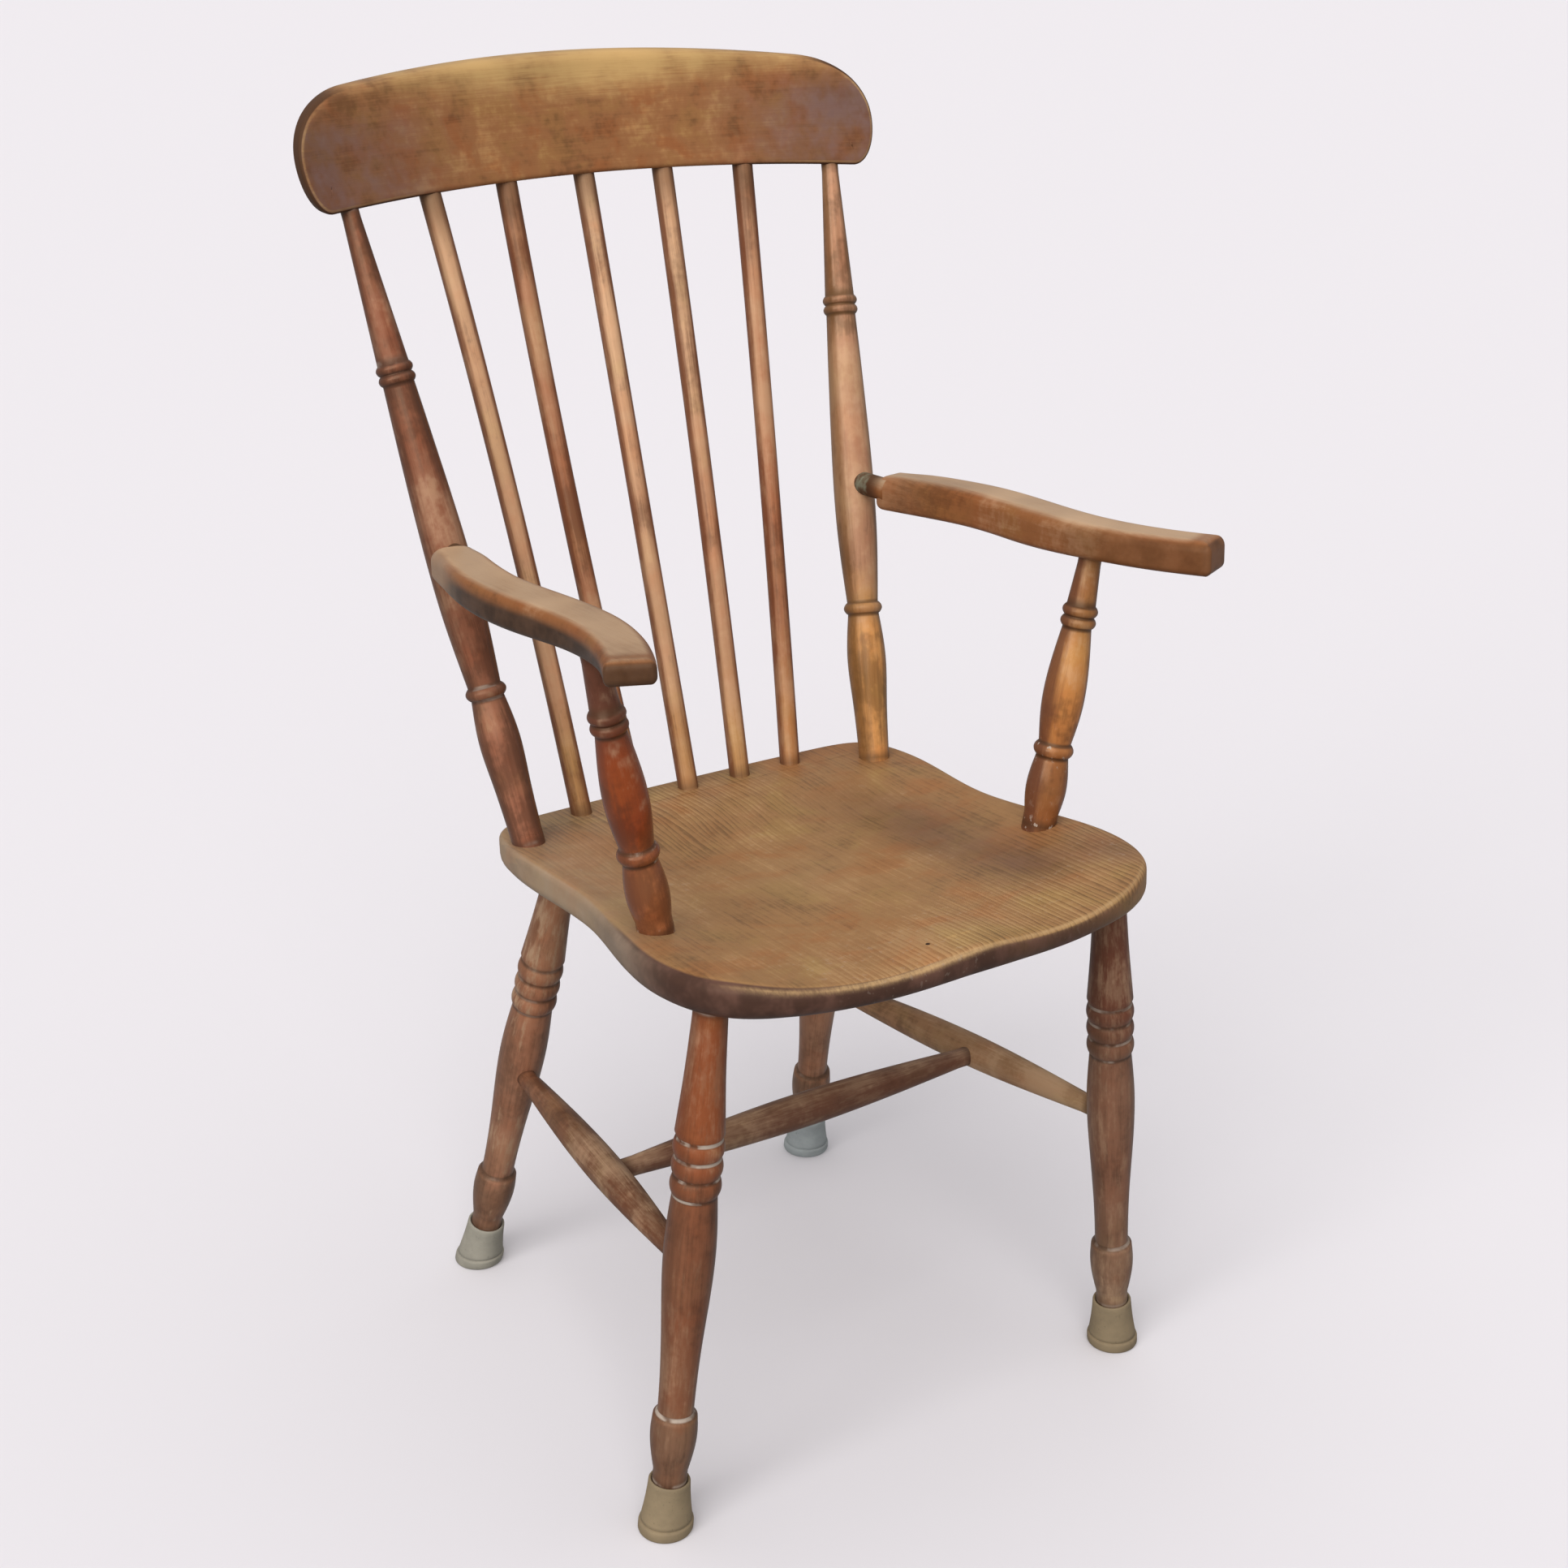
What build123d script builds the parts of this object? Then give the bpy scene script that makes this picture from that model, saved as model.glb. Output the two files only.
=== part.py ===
from build123d import *
from math import cos, exp, radians, sin, sqrt, tan
import os

# Windsor stick-back armchair, in millimetres. It faces -Y, stands on z = 0 and is mirrored about x = 0.
# Seat places are (across, towards the back) on the seat top, measured from the middle of the seat.

# Stance and fit: glue gap, plain stretch beside a joint, wood left beyond a socket, cutter overrun
SEAT_HEIGHT = 450.0
SEAT_TILT = 4.0
GLUE_LINE = 0.15
LANDING = 9.0
BLIND_FLOOR = 8.0
RUN_OUT = 30.0

# Seat board
SEAT_THICKNESS = 30.0
SEAT_FRONT = 277.0
SEAT_BACK = 149.0
SEAT_FRONT_WIDTH = 418.0
SEAT_WAIST_WIDTH = 378.0
SEAT_BACK_WIDTH = 380.0
SEAT_BACK_OFFSET = 7.0
SEAT_BACK_FLAT_IN = 65.0
SEAT_BACK_BOW = 2.0
SEAT_BACK_CORNER = 48.0
SEAT_BACK_CORNER_IN = 11.0
SEAT_BACK_CORNER_DOWN = 17.0
SEAT_WAIST_Y = -39.0
SEAT_WIDEST_Y = -177.0
SEAT_FRONT_CORNER_IN = 21.0
SEAT_FRONT_CORNER_UP = 44.0
SEAT_FRONT_FLAT_IN = 94.0
SEAT_FRONT_BOW = 8.0
SEAT_TOP_ROUND = 6.0
SEAT_UNDER_ROUND = 13.0
SADDLE_DEPTH = 12.0
SADDLE_HALF_WIDTH = 188.0
SADDLE_SQUARENESS = 3.5
SADDLE_BACK = 112.0
SADDLE_RISE = 120.0
SADDLE_LIP = 2.5
SADDLE_MARGIN = 30.0
SADDLE_STEPS = 24
POMMEL_HEIGHT = 5.5
POMMEL_WIDTH = 52.0
POMMEL_START = 110.0

# Back: lean from upright, and reach along the lean from the seat to the crest rail
BACK_LEAN = 18.1
BACK_REACH = 506.0

# Crest rail
CREST_LENGTH = 515.0
CREST_HEIGHT = 91.0
CREST_THICKNESS = 24.0
CREST_END_THICKNESS = 16.0
CREST_BEND = 900.0
CREST_UNDER_ARCH = 7.0
CREST_TOP_ARCH = 11.0
CREST_CORNER = 52.0
CREST_END_SWELL = 22.0
CREST_END_MIDDLE = 38.0
CREST_EASING = 0.55
CREST_ROUND = 4.5

# Spindles
SPINDLE_COUNT = 5
SPINDLE_INSET = 24.0
SPINDLE_SEAT_PITCH = 50.6
SPINDLE_CREST_PITCH = 71.5
SPINDLE_RADIUS = 8.5
SPINDLE_WAIST = 8.2
SPINDLE_CREST_TENON = 30.0

# Back posts
POST_SIDE_INSET = 23.4
POST_BACK_INSET = 56.0
POST_CREST_INSET = 39.0
POST_BASE_RADIUS = 13.0
POST_CONE_RADIUS = 14.7
POST_BULB_RADIUS = 16.4
POST_RING_RADIUS = 16.3
POST_SWELL_RADIUS = 16.6
POST_NECK_RADIUS = 13.1
POST_UPPER_RING_RADIUS = 14.4
POST_UPPER_NECK_RADIUS = 12.2
POST_TOP_RADIUS = 7.0
POST_CONE_HEIGHT = 49.0
POST_BULB_HEIGHT = 85.0
POST_LEFT_RING_HEIGHT = 118.0
POST_RIGHT_RING_HEIGHT = 122.0
POST_RING_WIDTH = 10.2
POST_SWELL_RISE = 55.0
POST_SWELL_LENGTH = 72.0
POST_LEFT_UPPER_RING_DROP = 119.0
POST_RIGHT_UPPER_RING_DROP = 111.3
POST_UPPER_RING_WIDTH = 7.9
POST_CREST_TENON = 32.0

# Arms
ARM_HEIGHT = 240.0
ARM_LEFT_THICKNESS = 22.5
ARM_RIGHT_THICKNESS = 26.5
ARM_WIDTH = 35.0
ARM_BOW = 14.0
ARM_BOW_BACK = 134.0
ARM_REAR_OUT = 8.0
ARM_REAR_TURN = 11.0
ARM_OVERHANG = 107.0
ARM_FLARE = 31.0
ARM_FRONT_TURN = 28.0
ARM_ROUND = 4.5
ARM_REAR_CORNER = 12.0
ARM_NECK = 19.0
ARM_TENON_RADIUS = 9.5
ARM_TENON_STOP = 2.0

# Arm supports
SUPPORT_SIDE_INSET = 33.1
SUPPORT_FRONT_INSET = 157.8
SUPPORT_OUT = 43.0
SUPPORT_FORWARD = 8.1
SUPPORT_BASE_RADIUS = 13.6
SUPPORT_BULB_RADIUS = 16.0
SUPPORT_RING_RADIUS = 15.8
SUPPORT_NECK_RADIUS = 12.7
SUPPORT_SWELL_RADIUS = 16.0
SUPPORT_UPPER_RING_RADIUS = 13.9
SUPPORT_UPPER_NECK_RADIUS = 11.3
SUPPORT_TOP_RADIUS = 9.0
SUPPORT_BULB_HEIGHT = 27.0
SUPPORT_LEFT_RING_HEIGHT = 57.2
SUPPORT_RIGHT_RING_HEIGHT = 55.3
SUPPORT_RING_WIDTH = 11.0
SUPPORT_SWELL_RISE = 26.0
SUPPORT_UPPER_RING_DROP = 67.5
SUPPORT_UPPER_RING_WIDTH = 8.9

# Legs: where each axis meets the seat top, how far its foot stands out and back, then the turning
FRONT_LEG_SIDE_INSET = 31.7
FRONT_LEG_FRONT_INSET = 75.0
FRONT_LEG_OUT = 42.5
FRONT_LEG_BACK = 3.9
REAR_LEG_SIDE_INSET = 60.9
REAR_LEG_BACK_INSET = 55.1
REAR_LEG_OUT = 45.7
REAR_LEG_BACK = 106.0
LEG_TENON_RADIUS = 12.8
FRONT_LEG_RING_DROP = 102.5
REAR_LEG_RING_DROP = 97.0
LEG_RING_WIDTH = 15.3
LEG_RING_COUNT = 3
LEG_RING_RADIUS = 18.9
LEG_GROOVE_RADIUS = 16.6
LEG_CONE_RADIUS = 18.3
LEG_CONE_STEP = 4.0
LEG_CONE_HOLLOW = 0.6
LEG_SWELL_RADIUS = 19.1
LEG_SWELL_DROP = 40.0
LEG_NECK_RADIUS = 13.6
LEG_ANKLE_RADIUS = 17.7
LEG_ANKLE_HEIGHT = 88.0
LEG_COLLAR_HEIGHT = 101.0
LEG_COLLAR_RADIUS = 16.7
LEG_COLLAR_STEP = 3.0
LEG_FOOT_RADIUS = 13.1

# Stretchers
STRETCHER_FRONT_HEIGHT = 226.0
STRETCHER_REAR_HEIGHT = 208.0
STRETCHER_END_RADIUS = 8.0
STRETCHER_SWELL_RADIUS = 13.8
STRETCHER_STOP = 3.0
CROSS_SWELL_RADIUS = 14.2
CROSS_SETBACK = 152.0

# Rubber ferrules and their steel discs
FERRULE_HEIGHT = 44.0
FERRULE_RIM_RADIUS = 21.0
FERRULE_RIM_HEIGHT = 8.5
FERRULE_RIM_STEP = 1.1
FERRULE_LIP = 2.65
FERRULE_FLOOR = 9.0
FERRULE_GRIP = 0.15
WASHER_THICKNESS = 1.5
WASHER_HOLE_RADIUS = 4.0

SIDES = {"left": -1, "right": 1}
ARM_THICKNESSES = {"left": ARM_LEFT_THICKNESS, "right": ARM_RIGHT_THICKNESS}
POST_RING_HEIGHTS = {"left": POST_LEFT_RING_HEIGHT, "right": POST_RIGHT_RING_HEIGHT}
POST_UPPER_RING_DROPS = {"left": POST_LEFT_UPPER_RING_DROP, "right": POST_RIGHT_UPPER_RING_DROP}
SUPPORT_RING_HEIGHTS = {"left": SUPPORT_LEFT_RING_HEIGHT, "right": SUPPORT_RIGHT_RING_HEIGHT}
LEG_RING_DROPS = {"front": FRONT_LEG_RING_DROP, "rear": REAR_LEG_RING_DROP}
front_half = SEAT_FRONT_WIDTH / 2
back_half = SEAT_BACK_WIDTH / 2
spindle_row = SEAT_BACK - SPINDLE_INSET
post_base = (back_half - POST_SIDE_INSET, SEAT_BACK - POST_BACK_INSET)
post_crest_x = CREST_LENGTH / 2 - POST_CREST_INSET
support_base = (front_half - SUPPORT_SIDE_INSET, SUPPORT_FRONT_INSET - SEAT_FRONT)
support_top = (support_base[0] + SUPPORT_OUT, support_base[1] - SUPPORT_FORWARD)
leg_heads = {
    "front": (front_half - FRONT_LEG_SIDE_INSET, FRONT_LEG_FRONT_INSET - SEAT_FRONT),
    "rear": (back_half - REAR_LEG_SIDE_INSET, SEAT_BACK - REAR_LEG_BACK_INSET),
}
leg_strides = {"front": (FRONT_LEG_OUT, FRONT_LEG_BACK), "rear": (REAR_LEG_OUT, REAR_LEG_BACK)}
seat_frame = Plane((0, 0, SEAT_HEIGHT)).rotated((-SEAT_TILT, 0, 0))
seat_up = seat_frame.z_dir


def on_seat(x, y, height=0.0):
    """World place of a point given on the seat top, or at a height above it."""
    return seat_frame.from_local_coords(Vector(x, y, height))


def axis_frame(start, end):
    """Frame at start with its Z axis towards end and its X axis near the world's."""
    along = (end - start).normalized()
    across = Vector(1, 0, 0)
    if abs(along.X) > abs(along.Z):
        across = Vector(0, 1, 0)
    across = (across - along * along.dot(across)).normalized()
    return Plane(origin=start, x_dir=across, z_dir=along)


def run(*spots):
    """Stretch of a turned outline through (radius, height) spots, straight if there are two."""
    points = [Vector(radius, 0, height) for radius, height in spots]
    return Line(*points) if len(points) == 2 else Spline(*points)


def bead(low, high, groove, crown):
    """Half-round ring of a turned outline between two heights."""
    return ThreePointArc((groove, 0, low), (crown, 0, (low + high) / 2), (groove, 0, high))


def turned(*stretches):
    """Solid turned about Z from an open outline that runs upwards."""
    foot = stretches[0] @ 0
    head = stretches[-1] @ 1
    axis_side = Polyline(head, Vector(0, 0, head.Z), Vector(0, 0, foot.Z), foot)
    return revolve(make_face([*stretches, axis_side]), Axis.Z)


def rod(frame, radius, low, high):
    """Plain round rod along a frame's Z axis."""
    disc = Plane(frame.from_local_coords(Vector(0, 0, low)), frame.x_dir, frame.z_dir) * Circle(radius)
    return extrude(disc, high - low, frame.z_dir)


def socket(frame, radius, tip, mouth):
    """Hole for a round tenon, a glue line larger all round and past its tip."""
    past_tip = tip + GLUE_LINE * (1 if tip > mouth else -1)
    return rod(frame, radius + GLUE_LINE, min(past_tip, mouth), max(past_tip, mouth))


def blind_depth(frame, radius, thickness):
    """Length of a tenon that stops inside a board that lies with the seat."""
    rise = abs(frame.z_dir.dot(seat_up))
    return (thickness - BLIND_FLOOR - radius * sqrt(1 - rise * rise)) / rise


def solid_of(shape):
    """The one solid of a shape."""
    return shape.solids().sort_by(SortBy.VOLUME)[-1]


# Crest rail geometry: plan arcs at the height of its under edge, swept along the lean
lean_way = Vector(0, sin(radians(BACK_LEAN)), cos(radians(BACK_LEAN)))
crest_middle = on_seat(0, spindle_row) + lean_way * BACK_REACH


def crest_sag(x):
    """How far the crest rail comes forward at x because of its bend."""
    return CREST_BEND - sqrt(CREST_BEND**2 - x**2)


def crest_thinning(x):
    """How much the crest rail has lost of its thickness at x."""
    return (CREST_THICKNESS - CREST_END_THICKNESS) * (2 * x / CREST_LENGTH) ** 2


def crest_seat(x):
    """Middle of the crest rail's under edge at x, where a stick enters it."""
    drop = CREST_UNDER_ARCH * (2 * x / CREST_LENGTH) ** 2
    forward = crest_sag(x) + crest_thinning(x) / 2 + drop * tan(radians(BACK_LEAN))
    return crest_middle + Vector(x, -forward, -drop)


def make_crest_blank():
    """Bent, leaning board cut to the rail's front outline, with its edges rounded."""
    half = CREST_LENGTH / 2
    reach = half + CREST_THICKNESS
    front = crest_middle.Y - CREST_THICKNESS / 2
    back = crest_middle.Y + CREST_THICKNESS / 2
    end_front = front - crest_sag(reach)
    end_back = back - crest_sag(reach) - crest_thinning(reach)
    plan = make_face(
        [
            ThreePointArc((-reach, end_front), (0, front), (reach, end_front)),
            Line((reach, end_front), (reach, end_back)),
            ThreePointArc((reach, end_back), (0, back), (-reach, end_back)),
            Line((-reach, end_back), (-reach, end_front)),
        ]
    )
    board = extrude(Pos(0, 0, crest_middle.Z) * plan, 2 * CREST_HEIGHT, lean_way)
    board = Pos(*(lean_way * (-CREST_HEIGHT / 2))) * board
    low = crest_middle.Z - CREST_UNDER_ARCH
    high = crest_middle.Z + CREST_HEIGHT - CREST_TOP_ARCH
    foot_x = half - CREST_END_SWELL
    head_x = half - CREST_CORNER
    under_slope = Vector(1, 0, -2 * CREST_UNDER_ARCH / foot_x).normalized()
    over_slope = Vector(-1, 0, 2 * CREST_TOP_ARCH / head_x).normalized()
    edges = [
        ThreePointArc((-foot_x, 0, low), (0, 0, crest_middle.Z), (foot_x, 0, low)),
        ThreePointArc((head_x, 0, high), (0, 0, crest_middle.Z + CREST_HEIGHT), (-head_x, 0, high)),
    ]
    middle = low + CREST_END_MIDDLE
    for side in (1, -1):
        foot = Vector(side * foot_x, 0, low)
        tip = Vector(side * half, 0, middle)
        head = Vector(side * head_x, 0, high)
        foot_way = Vector(side * under_slope.X, 0, under_slope.Z) * (CREST_EASING * CREST_END_SWELL)
        head_way = Vector(side * over_slope.X, 0, over_slope.Z) * (CREST_EASING * CREST_CORNER)
        rise = Vector(0, 0, CREST_EASING * CREST_END_MIDDLE)
        fall = Vector(0, 0, CREST_EASING * (high - middle))
        edges.append(Bezier(foot, foot + foot_way, tip - rise, tip))
        edges.append(Bezier(tip, tip + fall, head - head_way, head))
    outline = make_face(edges)
    depth = crest_middle.Y + CREST_LENGTH
    rail = solid_of(board & extrude(outline, depth, (0, 1, 0), both=True))
    faces = rail.faces().sort_by(SortBy.AREA)[-2:]
    return fillet([edge for face in faces for edge in face.edges()], CREST_ROUND)


def saddle_floor(x, y):
    """Height of the carved saddle above the seat top at a place on the seat."""
    across = max(0.0, 1 - abs(x / SADDLE_HALF_WIDTH) ** SADDLE_SQUARENESS)
    share = min(1.0, max(0.0, (SADDLE_BACK - y) / SADDLE_RISE))
    along = share * share * (3 - 2 * share)
    ahead = min(1.0, max(0.0, (-y - POMMEL_START) / (SEAT_FRONT - POMMEL_START)))
    pommel = POMMEL_HEIGHT * exp(-((x / POMMEL_WIDTH) ** 2)) * ahead * ahead * (3 - 2 * ahead)
    return SADDLE_LIP - (SADDLE_DEPTH + SADDLE_LIP) * across * along + pommel


def make_seat_blank():
    """Saddled seat board before it is bored."""
    back_middle = SEAT_BACK_OFFSET
    edges = []
    for side in (1, -1):
        points = [
            (back_middle, SEAT_BACK),
            (back_middle + side * (back_half - SEAT_BACK_FLAT_IN), SEAT_BACK - SEAT_BACK_BOW),
            (back_middle + side * (back_half - SEAT_BACK_CORNER_IN), SEAT_BACK - SEAT_BACK_CORNER_DOWN),
            (back_middle + side * back_half, SEAT_BACK - SEAT_BACK_CORNER),
            (side * SEAT_WAIST_WIDTH / 2, SEAT_WAIST_Y),
            (side * front_half, SEAT_WIDEST_Y),
            (side * (front_half - SEAT_FRONT_CORNER_IN), SEAT_FRONT_CORNER_UP - SEAT_FRONT),
            (side * (front_half - SEAT_FRONT_FLAT_IN), SEAT_FRONT_BOW - SEAT_FRONT),
            (0, -SEAT_FRONT),
        ]
        edges.append(Spline(*points, tangents=[(side, 0), (-side, 0)]))
    board = extrude(make_face(edges), -SEAT_THICKNESS)
    board = fillet(board.edges().group_by(Axis.Z)[-1], SEAT_TOP_ROUND)
    board = fillet(board.edges().group_by(Axis.Z)[0], SEAT_UNDER_ROUND)
    steps = range(SADDLE_STEPS + 1)
    reach_x = max(SEAT_FRONT_WIDTH, SEAT_WAIST_WIDTH, SEAT_BACK_WIDTH) / 2 + SADDLE_MARGIN
    reach_y = max(SEAT_FRONT, SEAT_BACK) + SADDLE_MARGIN
    grid = []
    for i in steps:
        x = reach_x * (2 * i / SADDLE_STEPS - 1)
        row = [reach_y * (2 * j / SADDLE_STEPS - 1) for j in steps]
        grid.append([Vector(x, y, saddle_floor(x, y)) for y in row])
    floor = Face.make_surface_from_array_of_points(grid)
    carved = board - extrude(floor, 2 * SEAT_THICKNESS, (0, 0, 1))
    return seat_frame.location * solid_of(carved)


def make_post(frame, length, tenon, ring, upper_drop):
    """Turned back post: tenon, bulb, ring, long swell, double ring, taper, tenon."""
    ring_top = ring + POST_RING_WIDTH
    top = length - upper_drop
    middle = top - POST_UPPER_RING_WIDTH
    upper = middle - POST_UPPER_RING_WIDTH
    swell = ring_top + POST_SWELL_RISE
    return frame.location * turned(
        run((POST_BASE_RADIUS, -tenon), (POST_BASE_RADIUS, LANDING)),
        run(
            (POST_BASE_RADIUS, LANDING),
            (POST_CONE_RADIUS, POST_CONE_HEIGHT),
            (POST_BULB_RADIUS, POST_BULB_HEIGHT),
            (POST_NECK_RADIUS, ring),
        ),
        bead(ring, ring_top, POST_NECK_RADIUS, POST_RING_RADIUS),
        run(
            (POST_NECK_RADIUS, ring_top),
            (POST_SWELL_RADIUS, swell),
            (POST_SWELL_RADIUS, swell + POST_SWELL_LENGTH),
            (POST_UPPER_NECK_RADIUS, upper),
        ),
        bead(upper, middle, POST_UPPER_NECK_RADIUS, POST_UPPER_RING_RADIUS),
        bead(middle, top, POST_UPPER_NECK_RADIUS, POST_UPPER_RING_RADIUS),
        run((POST_UPPER_NECK_RADIUS, top), (POST_TOP_RADIUS, length - LANDING)),
        run((POST_TOP_RADIUS, length - LANDING), (POST_TOP_RADIUS, length + POST_CREST_TENON)),
    )


def make_support(frame, length, seat_tenon, arm_tenon, arm_thickness, ring):
    """Turned arm support: tenon, bulb, ring, baluster, double ring, taper, tenon."""
    ring_top = ring + SUPPORT_RING_WIDTH
    top = length + arm_thickness - SUPPORT_UPPER_RING_DROP
    middle = top - SUPPORT_UPPER_RING_WIDTH
    upper = middle - SUPPORT_UPPER_RING_WIDTH
    return frame.location * turned(
        run((SUPPORT_BASE_RADIUS, -seat_tenon), (SUPPORT_BASE_RADIUS, LANDING)),
        run(
            (SUPPORT_BASE_RADIUS, LANDING),
            (SUPPORT_BULB_RADIUS, SUPPORT_BULB_HEIGHT),
            (SUPPORT_NECK_RADIUS, ring),
        ),
        bead(ring, ring_top, SUPPORT_NECK_RADIUS, SUPPORT_RING_RADIUS),
        run(
            (SUPPORT_NECK_RADIUS, ring_top),
            (SUPPORT_SWELL_RADIUS, ring_top + SUPPORT_SWELL_RISE),
            (SUPPORT_UPPER_NECK_RADIUS, upper),
        ),
        bead(upper, middle, SUPPORT_UPPER_NECK_RADIUS, SUPPORT_UPPER_RING_RADIUS),
        bead(middle, top, SUPPORT_UPPER_NECK_RADIUS, SUPPORT_UPPER_RING_RADIUS),
        run((SUPPORT_UPPER_NECK_RADIUS, top), (SUPPORT_TOP_RADIUS, length - LANDING)),
        run((SUPPORT_TOP_RADIUS, length - LANDING), (SUPPORT_TOP_RADIUS, length + arm_tenon)),
    )


def make_spindle(frame, length, tenon):
    """Plain back stick, a little thinner at its middle."""
    return frame.location * turned(
        run((SPINDLE_RADIUS, -tenon), (SPINDLE_RADIUS, LANDING)),
        run((SPINDLE_RADIUS, LANDING), (SPINDLE_WAIST, length / 2), (SPINDLE_RADIUS, length - LANDING)),
        run((SPINDLE_RADIUS, length - LANDING), (SPINDLE_RADIUS, length + SPINDLE_CREST_TENON)),
    )


def make_leg(frame, underside, tenon, ring_drop):
    """Turned leg: foot in its ferrule, ankle, swell, three rings, cone and tenon."""
    foot = FERRULE_FLOOR + WASHER_THICKNESS + 2 * FERRULE_GRIP
    ring_top = underside - ring_drop
    ring_low = ring_top - LEG_RING_COUNT * LEG_RING_WIDTH
    step = LEG_COLLAR_HEIGHT + LEG_COLLAR_STEP
    neck = LEG_COLLAR_HEIGHT + LANDING
    swell = ring_low - LEG_SWELL_DROP
    cone = ring_top + LEG_CONE_STEP
    cone_top = underside - LANDING
    stretches = [
        run((LEG_FOOT_RADIUS, foot), (LEG_FOOT_RADIUS, FERRULE_HEIGHT + LANDING)),
        run(
            (LEG_FOOT_RADIUS, FERRULE_HEIGHT + LANDING),
            (LEG_ANKLE_RADIUS, LEG_ANKLE_HEIGHT),
            (LEG_COLLAR_RADIUS, LEG_COLLAR_HEIGHT),
        ),
        run((LEG_COLLAR_RADIUS, LEG_COLLAR_HEIGHT), (LEG_NECK_RADIUS, step)),
        run(
            (LEG_NECK_RADIUS, step),
            (LEG_NECK_RADIUS, neck),
            ((LEG_NECK_RADIUS + LEG_SWELL_RADIUS) / 2, (neck + swell) / 2),
            (LEG_SWELL_RADIUS, swell),
            (LEG_GROOVE_RADIUS, ring_low),
        ),
    ]
    for i in range(LEG_RING_COUNT):
        low = ring_low + i * LEG_RING_WIDTH
        stretches.append(bead(low, low + LEG_RING_WIDTH, LEG_GROOVE_RADIUS, LEG_RING_RADIUS))
    stretches += [
        run((LEG_GROOVE_RADIUS, ring_top), (LEG_CONE_RADIUS, cone)),
        run(
            (LEG_CONE_RADIUS, cone),
            ((LEG_CONE_RADIUS + LEG_TENON_RADIUS) / 2 - LEG_CONE_HOLLOW, (cone + cone_top) / 2),
            (LEG_TENON_RADIUS, cone_top),
        ),
        run((LEG_TENON_RADIUS, cone_top), (LEG_TENON_RADIUS, underside + tenon)),
    ]
    return frame.location * turned(*stretches)


def make_stretcher(frame, length, thickest, end_room, swell_radius):
    """Stretcher that swells from two round ends, which stop short of the axes that they reach."""
    radius = STRETCHER_END_RADIUS
    return frame.location * turned(
        run((radius, STRETCHER_STOP), (radius, end_room)),
        run((radius, end_room), (swell_radius, thickest), (radius, length - end_room)),
        run((radius, length - end_room), (radius, length - STRETCHER_STOP)),
    )


def make_arm(side, thickness, post_frame, post_length):
    """Sawn arm on its plane parallel to the seat, and the frame and length of its rear tenon."""
    middle = ARM_HEIGHT - thickness / 2
    base = seat_frame.to_local_coords(post_frame.origin)
    top = seat_frame.to_local_coords(post_frame.from_local_coords(Vector(0, 0, post_length)))
    share = (middle - base.Z) / (top.Z - base.Z)
    post = base + (top - base) * share
    neck = Vector(post.X, post.Y - POST_SWELL_RADIUS - ARM_NECK)
    rear = neck + Vector(side * ARM_REAR_OUT, 0)
    prop = Vector(side * support_top[0], support_top[1])
    bow = prop + (rear - prop).normalized() * ARM_BOW_BACK + Vector(side * ARM_BOW, 0)
    front = prop + Vector(side * ARM_FLARE, -ARM_OVERHANG)
    turns = (radians(ARM_REAR_TURN), radians(ARM_FRONT_TURN))
    tangents = [Vector(side * sin(turn), -cos(turn)) for turn in turns]
    centre = Spline(rear, bow, prop, front, tangents=tangents)
    across = Vector(-tangents[0].Y, tangents[0].X)
    section = Plane(rear, across, tangents[0]) * RectangleRounded(ARM_WIDTH, thickness, ARM_ROUND)
    blank = sweep(section, path=centre)
    for hand in (1, -1):
        corner = Pos(ARM_WIDTH / 2, 0) * Rectangle(2 * ARM_REAR_CORNER, 2 * ARM_REAR_CORNER)
        corner -= Pos(ARM_WIDTH / 2 - ARM_REAR_CORNER, -ARM_REAR_CORNER) * Circle(ARM_REAR_CORNER)
        rear_plane = Plane(rear, across * hand, Vector(0, 0, hand))
        blank -= extrude(rear_plane * corner, thickness, both=True)
    blank = (seat_frame.location * Pos(0, 0, middle)) * blank
    tenon_frame = axis_frame(on_seat(neck.X, neck.Y, middle), on_seat(post.X, post.Y, middle))
    tenon_tip = POST_SWELL_RADIUS + ARM_NECK - ARM_TENON_STOP
    tenon = rod(tenon_frame, ARM_TENON_RADIUS, -ARM_WIDTH / 2, tenon_tip)
    return blank + tenon, tenon_frame, tenon_tip


def leg_point(frame, height):
    """Point of a leg's axis at a height above the floor."""
    return frame.from_local_coords(Vector(0, 0, height / frame.z_dir.Z))


def make_ferrule(frame):
    """Rubber cup on a leg's foot, with its tread flat on the floor."""
    tread = Circle(FERRULE_RIM_RADIUS)
    waist = leg_point(frame, FERRULE_RIM_HEIGHT)
    lip = Plane(frame.from_local_coords(Vector(0, 0, FERRULE_HEIGHT)), frame.x_dir, frame.z_dir)
    rim = loft([Pos(*leg_point(frame, 0)) * tread, Pos(*waist) * tread])
    shoulder = Pos(*waist) * Circle(FERRULE_RIM_RADIUS - FERRULE_RIM_STEP)
    bore_radius = LEG_FOOT_RADIUS + FERRULE_GRIP
    cup = loft([shoulder, lip * Circle(bore_radius + FERRULE_LIP)])
    bore = rod(frame, bore_radius, FERRULE_FLOOR, FERRULE_HEIGHT + RUN_OUT)
    return rim + cup - bore


def make_washer(frame):
    """Steel disc under the leg end."""
    low = FERRULE_FLOOR + FERRULE_GRIP
    disc = rod(frame, LEG_FOOT_RADIUS, low, low + WASHER_THICKNESS)
    return disc - rod(frame, WASHER_HOLE_RADIUS, 0, FERRULE_HEIGHT)


nodes = {}
seat = make_seat_blank()
crest = make_crest_blank()

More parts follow.
